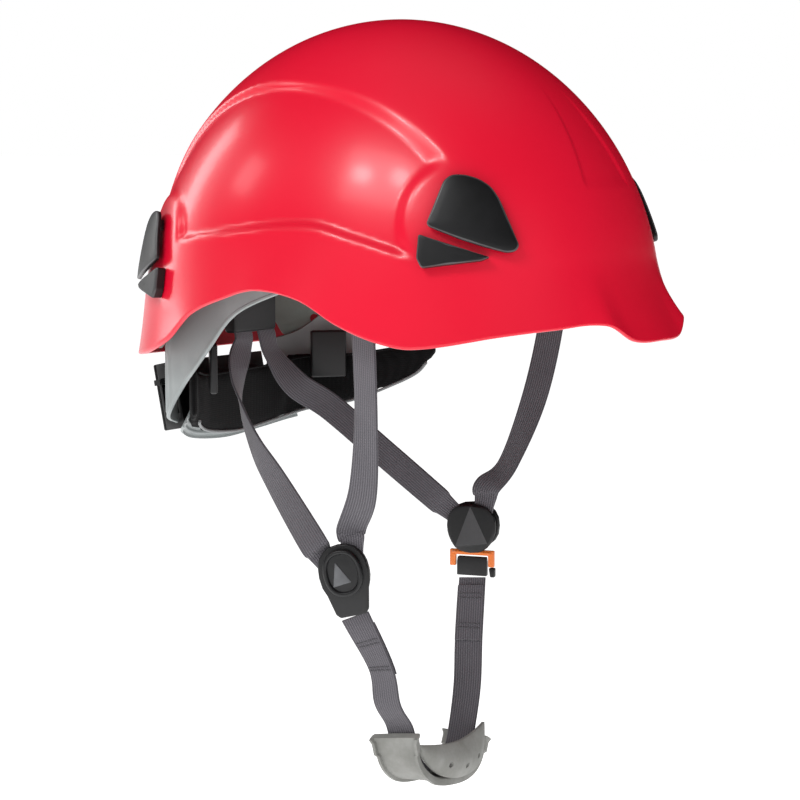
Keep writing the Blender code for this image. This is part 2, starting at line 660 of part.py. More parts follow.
def web(name, points, across_points, steps=4, bunched=0):
    """Webbing along points, with the direction of its width given at each of them."""
    path = smooth_path([Vector(point) * MM for point in points], steps)
    turns = smooth_path(across_points, steps)
    strip(name, path, lambda t: turns[round(t * (len(turns) - 1))], WEB_WIDTH, WEB_THICKNESS, "webbing grey", bunched)


def divider_axes(side):
    """Frontward, outward and up directions of a strap divider."""
    hand = "left" if side > 0 else "right"
    turn = math.radians(DIVIDER_TURN_DEG[hand])
    lean = math.radians(DIVIDER_LEAN_DEG[hand])
    out = Vector((side * math.cos(turn), -math.sin(turn), 0))
    ahead = Vector((-side * math.sin(turn), -math.cos(turn), 0))
    up = Vector((0, 0, 1))
    return ahead * math.cos(lean) + up * math.sin(lean), out, up * math.cos(lean) - ahead * math.sin(lean)


def divider_centre(side):
    return Vector((DIVIDER_X * side, DIVIDER_Y, DIVIDER_Z["left" if side > 0 else "right"]))


def on_divider(side, wide, out, up):
    """Point at a divider in its own directions: wide is toward the front, out away from the face."""
    axes = divider_axes(side)
    return divider_centre(side) + (axes[0] * wide + axes[1] * out + axes[2] * up) * MM


def plate_between(name, side, outline, near, far, colour):
    """Plate on a divider with an outline of (wide, up), between two distances out."""
    sections = [[on_divider(side, wide, out, up) for wide, up in outline] for out in (near, far)]
    return loft(name, sections, colour)


def oval(half_wide, half_up, centre_up=0.0, count=20):
    """Outline of an oval, anticlockwise."""
    return [(half_wide * power(math.cos(2 * math.pi * i / count), 0.85),
             centre_up + half_up * power(math.sin(2 * math.pi * i / count), 0.85)) for i in range(count)]


def with_neck(outline, half_wide, foot):
    """Oval outline whose lowest part is drawn down into a neck of that half width."""
    top = [point for point in outline if point[1] > 0 or abs(point[0]) > half_wide]
    left = [point for point in top if point[0] < 0]
    right = [point for point in top if point[0] >= 0]
    left.sort(key=lambda point: -point[1])
    right.sort(key=lambda point: point[1])
    return right + left + [(-half_wide, foot + 2), (-half_wide + 2, foot), (half_wide - 2, foot), (half_wide, foot + 2)]


def make_dividers():
    """Strap dividers: front and back plates, and the cam cover that swings open to free the webbing."""
    for hand, side in (("right", -1), ("left", 1)):
        wide, tall = (13, 15) if hand == "right" else (14.5, 12.5)
        body = oval(wide, tall, 2)
        if hand == "right":
            body = with_neck(body, 8.5, -20)
        plate_between(f"divider_front_{hand}", side, body, 1.2, 4.2, "clip black")
        plate_between(f"divider_back_{hand}", side, oval(wide - 0.6, tall - 0.6, 2), -3.8, -1.2, "clip black")
        cover = plate_between(f"divider_cover_{hand}", side, oval(wide - 3, tall - 3, 2.5), 4.5, 7, "clip black")
        set_origin(cover, on_divider(side, 0, 4.5, 5.5 - tall))


def make_buckle():
    """The left divider's quick release: an orange latch frame that holds the tongue of the chin strap."""
    outer = [(-12.5, -11.5), (12.5, -11.5), (12.5, -20.5), (9.2, -20.5), (9.2, -14.3), (-9.2, -14.3), (-9.2, -20.5),
             (-12.5, -20.5)]
    latch = plate_between("buckle_latch", 1, outer, -1.6, 1.0, "latch orange")
    set_origin(latch, on_divider(1, 0, -0.3, -12.5))
    plate_between("latch_tab", 1, [(9.6, -20.9), (12.9, -20.9), (12.9, -26), (10.4, -26)], -1.8, 1.6, "clip black")
    plate_between("buckle_tongue", 1, [(-8, -15.3), (8, -15.3), (8.4, -18), (8.4, -25.5), (-8.4, -25.5), (-8.4, -18)],
                  -1.7, 1.5, "clip black")


def make_harness():
    """Front and rear webbing on each side, with the anchors of the front ones."""
    front_top = Vector((90, -40, -82))
    rear_route = {
        "right": [(-10, 95, -127), (-12, 94.5, -133), (-19, 92, -143), (-22, 88, -162), (-31, 71, -182),
                  (-41, 49, -199)],
        "left": [(10, 95, -127), (12.5, 93, -138), (22, 84, -155), (36, 71, -168), (47, 42, -193)],
    }
    rear_entry = {
        "right": ((-13.5, 0, 21.5), (-10.5, 0, 14), (-6.5, 0, 5)),
        "left": ((-22, 0, 16.5), (-16, 0, 12), (-6.5, 0, 5)),
    }
    entry_across = {"right": (0.9, 0.42), "left": (0.6, 0.8)}
    for hand, side in (("right", -1), ("left", 1)):
        ahead, _, up = divider_axes(side)
        across = ahead * entry_across[hand][0] + up * entry_across[hand][1]
        front_end = [tuple(on_divider(side, *place) / MM) for place in ((8.2, 0, 23), (7.4, 0, 18), (5.9, 0, 9))]
        rear_end = [tuple(on_divider(side, *place) / MM) for place in rear_entry[hand]]
        x, y, z = front_top
        front = [(x * side, y, z), (87 * side, -40, -115), (78 * side, -35, -158), (67 * side, -25, -195), *front_end]
        web(f"front_strap_{hand}", front, [(0.12 * side, -1, 0)] * 3 + [(-0.2 * side, -1, 0)] + [ahead] * 3, 4, 8)
        rear = rear_route[hand]
        half = len(rear) // 2
        ways = [Vector((side, 0, 0))] * half
        ways += [Vector((0.7 * side, -0.5, 0.4)).lerp(ahead + up * 0.7, k / (len(rear) - half))
                 for k in range(len(rear) - half)]
        web(f"rear_strap_{hand}", rear + rear_end, ways + [across] * 3, 4, 8)
        box(f"front_anchor_{hand}", Vector((x * side, y, z + 6)) * MM, (4 * MM, 18 * MM, 10 * MM), "clip black",
            bevel=0.8 * MM)


def chin_path(lift):
    """Middle line round the chin, from the right divider to the buckle; lift is the height over the chin pad."""
    points = [(-33, -20.5, -326), (-27.5, -21, -341), (-16, -21.5, -350.5), (0, -22, -354), (16, -21.5, -354),
              (27, -21, -349), (33.5, -20.5, -337.5)]
    return [(x * (1 - lift / 34), y, z + lift) for x, y, z in points]


def make_chin():
    """The chin strap, from the right divider round to the buckle's tongue, and the rubber chin pad."""
    start = on_divider(-1, 0, 0, -20.9) / MM
    end = on_divider(1, 0, 0, -26.8) / MM
    points = [tuple(start), (-43, -19, -289), (-38, -19.5, -308), *chin_path(4.5), (38, -18, -312), (47, -13, -288),
              tuple(end)]
    ways = [divider_axes(-1)[0], (0.1, -1, 0), (0.2, -1, 0), *[(0.25, -1, 0)] * 7, (0.4, -1, 0), (0.5, -1, 0),
            divider_axes(1)[0]]
    web("chin_strap", points, [Vector(way).normalized() for way in ways], 3)
    pad = smooth_path([Vector(point) * MM for point in chin_path(0)], 3)
    strip("chin_pad", pad, lambda t: Vector((0.25, -1, 0)), 25 * MM, 3.2 * MM, "rubber grey")


def main():
    for old in list(bpy.data.objects):
        bpy.data.objects.remove(old)
    make_shell()
    make_clips()
    make_headband()
    make_arms()
    make_nape_unit()
    make_nape_pad()
    make_hangers()
    make_sliders()
    make_cradle()
    make_dividers()
    make_buckle()
    make_harness()
    make_chin()


main()
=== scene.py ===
"""Looks of a climbing helmet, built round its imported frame: fine shell, clips, webbing, pads and finishes."""

import math

import bmesh
import bpy
from mathutils import Matrix, Vector


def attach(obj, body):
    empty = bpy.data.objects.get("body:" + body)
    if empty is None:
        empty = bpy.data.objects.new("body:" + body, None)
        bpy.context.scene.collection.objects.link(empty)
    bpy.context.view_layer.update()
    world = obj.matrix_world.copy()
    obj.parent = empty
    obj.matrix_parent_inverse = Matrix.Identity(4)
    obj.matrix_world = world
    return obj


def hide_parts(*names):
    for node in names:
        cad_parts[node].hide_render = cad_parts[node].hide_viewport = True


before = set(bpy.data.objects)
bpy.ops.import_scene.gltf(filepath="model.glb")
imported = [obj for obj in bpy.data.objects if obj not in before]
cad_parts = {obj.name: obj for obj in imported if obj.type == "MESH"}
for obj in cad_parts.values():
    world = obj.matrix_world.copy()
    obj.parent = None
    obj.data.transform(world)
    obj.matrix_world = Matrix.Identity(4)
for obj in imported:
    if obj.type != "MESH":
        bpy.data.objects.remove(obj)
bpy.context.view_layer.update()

MM = 0.001

# shell, as the frame has it
HALF_LENGTH = 140 * MM
HALF_WIDTH = 107 * MM
CROWN_HEIGHT = 40 * MM
DOME_HEIGHT = 147.5 * MM
PLAN_POWER = 2.16
WALL = 3 * MM
PANEL_STEP = 2.5 * MM
RIDGE_HALF_WIDTH = 71.5 * MM
RIDGE_WIDEST_Y = -60 * MM
RIDGE_BOW = 0.95
# azimuth from the front in degrees, and millimetres
RIM = ((0, -117), (9, -116), (16, -108), (28, -109.5), (41, -112.5), (60, -118.5), (68, -115.5),
       (76, -108), (84, -97), (93, -93), (101, -98), (111, -107), (121, -122), (137, -131), (180, -136))
CREASE = ((0, -78), (45, -80), (60, -77), (73, -69), (84, -63), (101, -66.5), (132, -75.5), (180, -85))
FLARE = ((0, 16), (14, 14), (22, 8), (40, 5), (90, 4), (150, 5), (180, 5))
SHELL_COLUMNS = 540
OUTER_ROWS = 130
INNER_ROWS = 22
ROLL_STEPS = 5
DOME_SHARE = 0.78                # share of the rows that are spent on the dome, the rest on its skirt
DOME_TURN = 0.93                 # share of a quarter turn that the dome's rows cover

# clips
CLIP_CENTRE_Y = {"front": -92 * MM, "rear": 100 * MM}
CLIP_CENTRE_Z = {"front": -59 * MM, "rear": -79 * MM}
CLIP_STANDOFF = 0.5 * MM
CLIP_SLOT = 2.6 * MM
FLAP_THICKNESS = 2.2 * MM
FLAP_OUTLINE = ((-20, -3), (-9, 17.3), (-5, 20), (1, 20), (7, 18.2), (12, 14.6), (14.8, 9.5),
                (21.5, -12.5), (20, -15), (16.5, -15.6), (7, -12.8), (-3, -9.5), (-13.5, -5.5))
BASE_OUTLINE = ((-24, -7), (-15.5, -9.5), (-4, -13), (9.5, -17.5), (5.5, -19), (-23.5, -22.5), (-25.8, -18))
PIVOT_OUTLINE = ((-9, 12), (-5, 16.5), (4.5, 16), (7.5, 12))

# harness
BAND_HALF_LENGTH = 98 * MM
BAND_HALF_WIDTH = 80 * MM
BAND_CENTRE_Y = 8 * MM
BAND_TOP_Z = -62 * MM
BAND_WIDTH = 28 * MM
BAND_THICKNESS = 2 * MM
BAND_END_DEG = 108
PIVOT_Y = 24 * MM
PIVOT_Z = -84 * MM
ARM_THICKNESS = 2 * MM
ARM_OUT = BAND_HALF_WIDTH + BAND_THICKNESS + 1.3 * MM
NAPE_Z = -157 * MM
NAPE_TILT_DEG = 12
NAPE_FACE_Y = 117 * MM
HOUSING_WIDTH = 76 * MM
HOUSING_DEPTH = 13 * MM
COVER_THICKNESS = 2 * MM
KNOB_RADIUS = 20 * MM
KNOB_THICKNESS = 11 * MM
KNOB_RIBS = 24
SHAFT_RADIUS = 2.2 * MM
GAP = 0.3 * MM
WEB_WIDTH = 15 * MM
WEB_THICKNESS = 1.4 * MM
CRADLE_WIDTH = 20 * MM
BUNCHED = 0.7
DIVIDER_X = 58 * MM
DIVIDER_Y = -8 * MM
DIVIDER_Z = {"right": -240 * MM, "left": -231 * MM}
DIVIDER_TURN_DEG = {"right": 25, "left": -15}
DIVIDER_LEAN_DEG = {"right": 13, "left": 0}
SIDES = (("right", -1), ("left", 1))


# ---------------------------------------------------------------- finishes

class Reading:
    """A socket of a material's nodes that can be used in sums."""

    def __init__(self, finish, socket):
        self.finish = finish
        self.socket = socket

    def math(self, operation, first, second):
        return self.finish.node("Math", {"operation": operation}, {0: first, 1: second})

    def __add__(self, other):
        return self.math("ADD", self, other)

    def __radd__(self, other):
        return self.math("ADD", other, self)

    def __sub__(self, other):
        return self.math("SUBTRACT", self, other)

    def __rsub__(self, other):
        return self.math("SUBTRACT", other, self)

    def __mul__(self, other):
        return self.math("MULTIPLY", self, other)

    def __rmul__(self, other):
        return self.math("MULTIPLY", other, self)

    def wave(self, period):
        """0 to 1 and back with that period."""
        turned = self * (2 * math.pi / period)
        return self.finish.node("Math", {"operation": "SINE"}, {0: turned}) * 0.5 + 0.5

    def step(self, low, high):
        """0 below low, 1 above high and a smooth ramp between."""
        sockets = {"Value": self, "From Min": low, "From Max": high}
        return self.finish.node("MapRange", {"interpolation_type": "SMOOTHSTEP"}, sockets)


class Finish:
    """A material on the Principled shader."""

    def __init__(self, name, **fixed):
        self.material = bpy.data.materials.new(name)
        self.material.use_nodes = True
        self.tree = self.material.node_tree
        self.shader = self.tree.nodes["Principled BSDF"]
        for socket, value in fixed.items():
            self.shader.inputs[socket.replace("_", " ")].default_value = value

    def node(self, kind, settings=None, sockets=None, out=0):
        made = self.tree.nodes.new("ShaderNode" + kind)
        for name, value in (settings or {}).items():
            setattr(made, name, value)
        for name, value in (sockets or {}).items():
            self.feed(made.inputs[name], value)
        return Reading(self, made.outputs[out])

    def feed(self, socket, value):
        if isinstance(value, Reading):
            self.tree.links.new(value.socket, socket)
        else:
            socket.default_value = value

    def place(self):
        return self.node("TexCoord", out=3)

    def noise(self, scale, detail=3.0, roughness=0.55, stretch=(1, 1, 1), place=None):
        if place is None:
            place = self.place()
        if stretch != (1, 1, 1):
            place = self.node("Mapping", {}, {"Vector": place, "Scale": stretch})
        sockets = {"Vector": place, "Scale": scale, "Detail": detail, "Roughness": roughness}
        return self.node("TexNoise", {}, sockets)

    def mix(self, amount, first, second):
        """Colour between two, each a plain (red, green, blue) or a reading."""
        first, second = [(*colour, 1) if isinstance(colour, tuple) else colour for colour in (first, second)]
        return self.node("Mix", {"data_type": "RGBA"}, {0: amount, 6: first, 7: second}, 2)

    def colour(self, value):
        self.feed(self.shader.inputs["Base Color"], value)

    def roughness(self, value):
        self.feed(self.shader.inputs["Roughness"], value)

    def bump(self, height, distance, strength=1.0):
        normal = self.node("Bump", {}, {"Height": height, "Distance": distance, "Strength": strength})
        self.feed(self.shader.inputs["Normal"], normal)

    def split(self, place):
        """The x, y and z of a place, each by itself."""
        parts = self.node("SeparateXYZ", {}, {0: place}).socket.node.outputs
        return [Reading(self, part) for part in parts]

    def across_and_along(self):
        """The two directions of the piece's own map, in centimetres across and along."""
        return self.split(self.node("UVMap", {"uv_map": "UVMap"}))[:2]


def glossy_shell():
    """Polished red moulding with the faint ripple and the hairline scratches of ABS."""
    finish = Finish("shell_gloss_red", Coat_Weight=0.3, Coat_Roughness=0.16, Specular_IOR_Level=0.42)
    cloud = finish.noise(9, 2)
    finish.colour(finish.mix(cloud.step(0.3, 0.7), (0.76, 0.0008, 0.027), (0.72, 0.0006, 0.023)))
    hairs = finish.noise(60, 4, 0.7, (1, 1, 14))
    finish.roughness(0.33 + 0.04 * finish.noise(38, 3) + 0.06 * hairs.step(0.6, 0.75))
    finish.bump(finish.noise(240, 1), 0.04 * MM, 0.3)
    return finish.material


def shell_inside():
    """The unpolished inner face of the moulding."""
    finish = Finish("shell_inside_red", Specular_IOR_Level=0.3)
    grain = finish.noise(900, 2)
    finish.colour(finish.mix(finish.noise(20, 3), (0.40, 0.001, 0.012), (0.32, 0.001, 0.010)))
    finish.roughness(0.5 + 0.12 * grain)
    finish.bump(grain, 0.12 * MM, 0.5)
    return finish.material


def moulded(name, light, dark, rough, grain=1300, depth=0.05, **fixed):
    """Moulded plastic with an eroded grain, slight clouding and rubbed patches."""
    finish = Finish(name, **fixed)
    cloud = finish.noise(30, 4, 0.6)
    eroded = finish.noise(grain, 2, 0.5)
    rubbed = finish.noise(110, 5, 0.65).step(0.58, 0.75)
    finish.colour(finish.mix(cloud.step(0.35, 0.7), dark, light))
    finish.roughness(rough + 0.08 * cloud - 0.08 * rubbed + 0.06 * eroded)
    finish.bump(eroded, depth * MM, 0.45)
    return finish.material


def woven_webbing():
    """Flat woven webbing: fine ribs along it, picks across it, and a closer selvedge."""
    finish = Finish("webbing_woven_grey", Sheen_Weight=0.25, Sheen_Roughness=0.5, Specular_IOR_Level=0.25)
    across, along = finish.across_and_along()
    rib = across.wave(0.125)
    shifted = along + (across * 4.0).wave(1.0) * 0.05
    pick = shifted.wave(0.085)
    side = finish.node("Math", {"operation": "ABSOLUTE"}, {0: across})
    edge = side.step(0.64, 0.70)
    fibre = finish.noise(2600, 2)
    worn = finish.noise(45, 4, 0.6)
    # colour darker in the grooves between ribs and picks, a painted shade, plus a random worn tone
    groove_shade_and_wear = 0.45 * rib + 0.3 * pick + 0.25 * worn
    cloth = finish.mix(groove_shade_and_wear.step(0.15, 0.9), (0.050, 0.046, 0.054), (0.150, 0.142, 0.158))
    finish.colour(finish.mix(edge * 0.5, cloth, (0.05, 0.046, 0.054)))
    finish.roughness(0.72 + 0.15 * fibre)
    finish.bump(0.55 * rib + 0.35 * pick + 0.12 * fibre, 0.16 * MM, 0.8)
    return finish.material


def pad_fabric():
    """Black knitted fabric over foam."""
    finish = Finish("pad_knit_black", Sheen_Weight=0.06, Sheen_Roughness=0.6, Specular_IOR_Level=0.12)
    x, _, z = finish.split(finish.place())
    wale = x.wave(1.3 * MM)
    course = z.wave(1.1 * MM)
    fuzz = finish.noise(1900, 3)
    lint = finish.noise(240, 5, 0.7).step(0.66, 0.78)
    cloth = finish.mix(wale * course, (0.0022, 0.0022, 0.0025), (0.0065, 0.0065, 0.0072))
    finish.colour(finish.mix(lint * 0.5, cloth, (0.014, 0.014, 0.015)))
    finish.roughness(0.82 + 0.12 * fuzz)
    finish.bump(0.6 * wale * course + 0.4 * fuzz, 0.25 * MM, 0.7)
    return finish.material


def pad_piping():
    """Grey bias binding round a pad."""
    finish = Finish("pad_piping_grey", Sheen_Weight=0.3, Specular_IOR_Level=0.25)
    across, along = finish.across_and_along()
    twill = (along + across * 0.6).wave(0.11)
    finish.colour(finish.mix(twill, (0.14, 0.145, 0.148), (0.30, 0.31, 0.315)))
    finish.roughness(0.7 + 0.15 * finish.noise(1500, 2))
    finish.bump(twill, 0.12 * MM, 0.7)
    return finish.material


def thread():
    """Twisted sewing thread."""
    finish = Finish("stitch_thread_grey", Sheen_Weight=0.2)
    across, along = finish.across_and_along()
    twist = (along + across).wave(0.06)
    finish.colour(finish.mix(twist, (0.035, 0.033, 0.038), (0.085, 0.08, 0.09)))
    finish.roughness(0.6 + 0.1 * twist)
    finish.bump(twist, 0.06 * MM, 0.6)
    return finish.material


def grey_rubber():
    """Matt grey rubber with a dusty bloom."""
    finish = Finish("chin_rubber_grey", Specular_IOR_Level=0.3)
    bloom = finish.noise(60, 5, 0.65)
    pores = finish.noise(1500, 2)
    finish.colour(finish.mix(bloom.step(0.3, 0.75), (0.205, 0.205, 0.19), (0.29, 0.29, 0.275)))
    finish.roughness(0.62 + 0.2 * pores)
    finish.bump(pores + 0.4 * finish.noise(300, 2), 0.12 * MM, 0.5)
    return finish.material


def screw_steel():
    """Zinc-plated screw heads, turned."""
    finish = Finish("screw_zinc", Metallic=1.0)
    turned_marks = finish.noise(500, 3, 0.6, (1, 1, 6))
    finish.colour(finish.mix(turned_marks, (0.42, 0.42, 0.43), (0.60, 0.60, 0.61)))
    finish.roughness(0.28 + 0.2 * turned_marks)
    finish.bump(turned_marks, 0.02 * MM, 0.5)
    return finish.material


SHELL_RED = glossy_shell()
SHELL_INSIDE = shell_inside()
CLIP_BLACK = moulded("clip_satin_black", (0.0075, 0.0075, 0.0085), (0.004, 0.004, 0.0045), 0.38)
# lighter grey for the clips' rounded upper edges: a painted highlight standing for the lit bevel, with a random
# clouded tone
CLIP_PAINTED_HIGHLIGHT = moulded("clip_edge_painted_highlight", (0.075, 0.072, 0.075), (0.04, 0.039, 0.041), 0.26, 900, 0.03)
NAPE_BLACK = moulded("nape_satin_black", (0.0055, 0.0055, 0.006), (0.003, 0.003, 0.0034), 0.36)
BAND_GREY = moulded("band_satin_grey", (0.31, 0.335, 0.335), (0.25, 0.275, 0.275), 0.36, 1000, 0.04)
HANGER_GREY = moulded("hanger_grey_green", (0.20, 0.23, 0.205), (0.165, 0.19, 0.17), 0.5, 800, 0.07)
INLAY_GREY = moulded("divider_inlay_grey", (0.135, 0.138, 0.145), (0.095, 0.098, 0.105), 0.5, 900, 0.1)
INLAY_DARK = moulded("divider_inlay_dark", (0.065, 0.065, 0.068), (0.05, 0.05, 0.053), 0.5, 900, 0.1)
LATCH_ORANGE = moulded("latch_satin_orange", (0.83, 0.215, 0.035), (0.74, 0.165, 0.025), 0.28, 1400, 0.03)
WEBBING = woven_webbing()
PAD_FABRIC = pad_fabric()
PIPING = pad_piping()
THREAD = thread()
RUBBER = grey_rubber()
SCREW = screw_steel()


# ---------------------------------------------------------------- ways of making pieces

def piece_of(name, mesh, materials, sharp_deg=None):
    """A piece from a bmesh, smooth, with edges over that angle kept sharp."""
    bmesh.ops.recalc_face_normals(mesh, faces=mesh.faces)
    data = bpy.data.meshes.new(name)
    mesh.to_mesh(data)
    mesh.free()
    made = bpy.data.objects.new(name, data)
    bpy.context.scene.collection.objects.link(made)
    for material in materials if isinstance(materials, (list, tuple)) else [materials]:
        data.materials.append(material)
    only(made)
    if sharp_deg:
        smooth_under(made, sharp_deg)
    else:
        bpy.ops.object.shade_smooth()
    return made


def only(piece):
    """Select that piece alone."""
    if bpy.context.view_layer.objects.active and bpy.context.object.mode != "OBJECT":
        bpy.ops.object.mode_set(mode="OBJECT")
    bpy.ops.object.select_all(action="DESELECT")
    piece.select_set(True)
    bpy.context.view_layer.objects.active = piece


def only_nothing():
    bpy.ops.object.select_all(action="DESELECT")


def smooth_under(piece, degrees):
    """Shade a piece smooth, with edges over that angle kept sharp."""
    only(piece)
    bpy.ops.object.shade_smooth_by_angle(angle=math.radians(degrees))


def modified(piece, kind, **settings):
    """A modifier added with those settings and applied."""
    only(piece)
    added = piece.modifiers.new(kind.title(), kind)
    for name, value in settings.items():
        setattr(added, name, value)
    bpy.ops.object.modifier_apply(modifier=added.name)
    return piece


def bevelled(piece, width, segments, over_deg, **settings):
    """The piece's edges over that angle rounded."""
    return modified(piece, "BEVEL", width=width, segments=segments, limit_method="ANGLE",
                    angle_limit=math.radians(over_deg), **settings)


def drilled(piece, place, direction, radius, depth):
    """A round hole through the piece."""
    bpy.ops.mesh.primitive_cylinder_add(vertices=32, radius=radius, depth=depth, location=place)
    drill = bpy.context.object
    drill.rotation_mode = "QUATERNION"
    drill.rotation_quaternion = direction.to_track_quat("Z", "Y")
    bpy.context.view_layer.update()
    modified(piece, "BOOLEAN", operation="DIFFERENCE", object=drill)
    bpy.data.objects.remove(drill)


def hoop(mesh, first, second):
    """Faces between two closed rings of as many points."""
    faces = []
    for i in range(len(first)):
        j = (i + 1) % len(first)
        faces.append(mesh.faces.new((first[i], first[j], second[j], second[i])))
    return faces


def worn_by(piece, body, slot, *nodes):
    """The piece moves with a body and stands for those nodes; its slot is not used."""
    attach(piece, body)
    if nodes:
        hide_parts(*nodes)
    return piece


def copy_of(node, name, material):
    """A clean copy of a node: its loose triangles are joined and its flat faces made whole."""
    made = bpy.data.objects.new(name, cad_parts[node].data.copy())
    bpy.context.scene.collection.objects.link(made)
    made.data.materials.clear()
    made.data.materials.append(material)
    only(made)
    bpy.ops.object.mode_set(mode="EDIT")
    bpy.ops.mesh.select_all(action="SELECT")
    bpy.ops.mesh.customdata_custom_splitnormals_clear()
    bpy.ops.mesh.remove_doubles(threshold=0.00001)
    bpy.ops.mesh.dissolve_limited(angle_limit=math.radians(1.5))
    bpy.ops.mesh.normals_make_consistent(inside=False)
    bpy.ops.object.mode_set(mode="OBJECT")
    return made


def rounded(node, body, slot, material, width=0.5 * MM, segments=3):
    """A node with its moulded edges rounded."""
    made = copy_of(node, node + "_moulded", material)
    bevelled(made, width, segments, 28, harden_normals=False)
    smooth_under(made, 40)
    return worn_by(made, body, slot, node)


def smooth_path(points, steps):
    """Catmull-Rom curve through the points, with the same number of steps between each pair."""
    points = [Vector(point) for point in points]
    padded = [2 * points[0] - points[1], *points, 2 * points[-1] - points[-2]]
    path = []
    for p0, p1, p2, p3 in zip(padded, padded[1:], padded[2:], padded[3:]):
        for step in range(steps):
            t = step / steps
            path.append(0.5 * (2 * p1 + (p2 - p0) * t + (2 * p0 - 5 * p1 + 4 * p2 - p3) * t * t
                               + (3 * p1 - p0 - 3 * p2 + p3) * t ** 3))
    path.append(points[-1])
    return path


def sweep(name, path, ways, section, materials, sharp_deg=None, paint=None):
    """Solid whose section follows a path. The section gives (across, out) points for a share of the path."""
    mesh = bmesh.new()
    chart = mesh.loops.layers.uv.new("UVMap")
    last = len(path) - 1
    rings = []
    spots = {}
    run = 0.0
    for i, point in enumerate(path):
        along = (path[min(i + 1, last)] - path[max(i - 1, 0)]).normalized()
        wide = (ways[i] - ways[i].project(along)).normalized()
        thick = along.cross(wide)
        run += (point - path[max(i - 1, 0)]).length
        ring = []
        for across, out in section(i / last):
            vertex = mesh.verts.new(point + wide * across + thick * out)
            spots[vertex] = (across * 100, run * 100)
            ring.append(vertex)
        rings.append(ring)
    count = len(rings[0])
    for i in range(last):
        for k in range(count):
            j = (k + 1) % count
            face = mesh.faces.new((rings[i][k], rings[i][j], rings[i + 1][j], rings[i + 1][k]))
            if paint:
                face.material_index = paint(i / last, k / count)
            for loop in face.loops:
                loop[chart].uv = spots[loop.vert]
    for cap in (rings[0], rings[-1]):
        face = mesh.faces.new(cap)
        for loop in face.loops:
            loop[chart].uv = spots[loop.vert]
    return piece_of(name, mesh, materials, sharp_deg)


def tube(name, path, radius, material, sides=8):
    """Round cord along a path."""
    ways = [Vector((0, 0, 1)) if abs((b - a).normalized().z) < 0.9 else Vector((1, 0, 0))
            for a, b in zip(path, path[1:])]
    ways.append(ways[-1])
    ring = [(radius * math.cos(2 * math.pi * k / sides), radius * math.sin(2 * math.pi * k / sides))
            for k in range(sides)]
    return sweep(name, path, ways, lambda share: ring, material)


def turned(name, centre, axis, profile, sides, materials, lobes=0, lobe_depth=0.0, lobed=(0, 0),
           sharp_deg=35):
    """Solid turned about an axis from a profile of (radius, distance along the axis), with grip lobes."""
    axis = Vector(axis).normalized()
    first = axis.orthogonal().normalized()
    second = axis.cross(first)
    mesh = bmesh.new()
    rings = []
    for number, (radius, along) in enumerate(profile):
        ring = []
        for i in range(sides):
            angle = 2 * math.pi * i / sides
            reach = radius
            if lobes and lobed[0] <= number <= lobed[1]:
                reach -= lobe_depth * (0.5 - 0.5 * math.cos(lobes * angle)) ** 2
            ring.append(mesh.verts.new(Vector(centre) + axis * along
                                       + (first * math.cos(angle) + second * math.sin(angle)) * reach))
        rings.append(ring)
    for upper, lower in zip(rings, rings[1:]):
        hoop(mesh, upper, lower)
    mesh.faces.new(rings[0])
    mesh.faces.new(rings[-1])
    return piece_of(name, mesh, materials, sharp_deg)


def joined(name, pieces):
    """Several pieces made one."""
    only(pieces[0])
    for other in pieces[1:]:
        other.select_set(True)
    bpy.ops.object.join()
    pieces[0].name = name
    return pieces[0]


# ---------------------------------------------------------------- shell

def ease(t):
    t = min(1.0, max(0.0, t))
    return t * t * (3 - 2 * t)


def ramp(t):
    """Nearly straight between 0 and 1, for a crisp chamfer."""
    t = min(1.0, max(0.0, t))
    return 0.65 * t + 0.35 * t * t * (3 - 2 * t)


def table(rows, azimuth):
    """Smooth reading of a table of azimuth against millimetres, level at both of its ends."""
    angle = min(abs(azimuth), rows[-1][0])
    i = max(k for k in range(len(rows) - 1) if rows[k][0] <= angle)
    (a0, v0), (a1, v1) = rows[i:i + 2]
    slopes = [0.0 if k in (0, len(rows) - 1) else
              (rows[k + 1][1] - rows[k - 1][1]) / (rows[k + 1][0] - rows[k - 1][0]) for k in (i, i + 1)]
    span = a1 - a0
    t = (angle - a0) / span
    value = v0 + (v1 - v0) * t * t * (3 - 2 * t)
    return (value + span * (slopes[0] * t * (1 - t) ** 2 - slopes[1] * t * t * (1 - t))) * MM


def power(value, exponent):
    return math.copysign(abs(value) ** exponent, value)


WALL_LEVEL = CROWN_HEIGHT - DOME_HEIGHT


def shell_base(azimuth, height):
    """Point and outward normal of the smooth dome at an azimuth from the front and a height."""
    rise = max(0.0, min(1.0, (height - WALL_LEVEL) / DOME_HEIGHT))
    spread = math.sqrt(max(0.0, 1 - rise * rise))
    sine, cosine = math.sin(math.radians(azimuth)), math.cos(math.radians(azimuth))
    point = Vector((HALF_WIDTH * spread * power(sine, 2 / PLAN_POWER),
                    -HALF_LENGTH * spread * power(cosine, 2 / PLAN_POWER), height))
    normal = Vector((power(point.x / HALF_WIDTH, PLAN_POWER - 1) / HALF_WIDTH,
                     power(point.y / HALF_LENGTH, PLAN_POWER - 1) / HALF_LENGTH,
                     rise / DOME_HEIGHT))
    return point, normal.normalized()


def ridge_x(y):
    return RIDGE_HALF_WIDTH - RIDGE_BOW * (y - RIDGE_WIDEST_Y) ** 2


def ridge_chamfer(y):
    """The crown band's chamfer widens from the back to the front."""
    return max(2.2 * MM, 3.6 * MM - 0.03 * y)


def azimuth_at(y, height, low, high):
    """Azimuth between low and high at which the dome has that y."""
    for _ in range(40):
        middle = (low + high) / 2
        if shell_base(middle, height)[0].y < y:
            low = middle
        else:
            high = middle
    return (low + high) / 2


CLIP_AZIMUTH = {"front": azimuth_at(CLIP_CENTRE_Y["front"], CLIP_CENTRE_Z["front"], 0, 90),
                "rear": azimuth_at(CLIP_CENTRE_Y["rear"], CLIP_CENTRE_Z["rear"], 90, 180)}
CLIP_CENTRE = {end: shell_base(CLIP_AZIMUTH[end], CLIP_CENTRE_Z[end])[0] for end in ("front", "rear")}


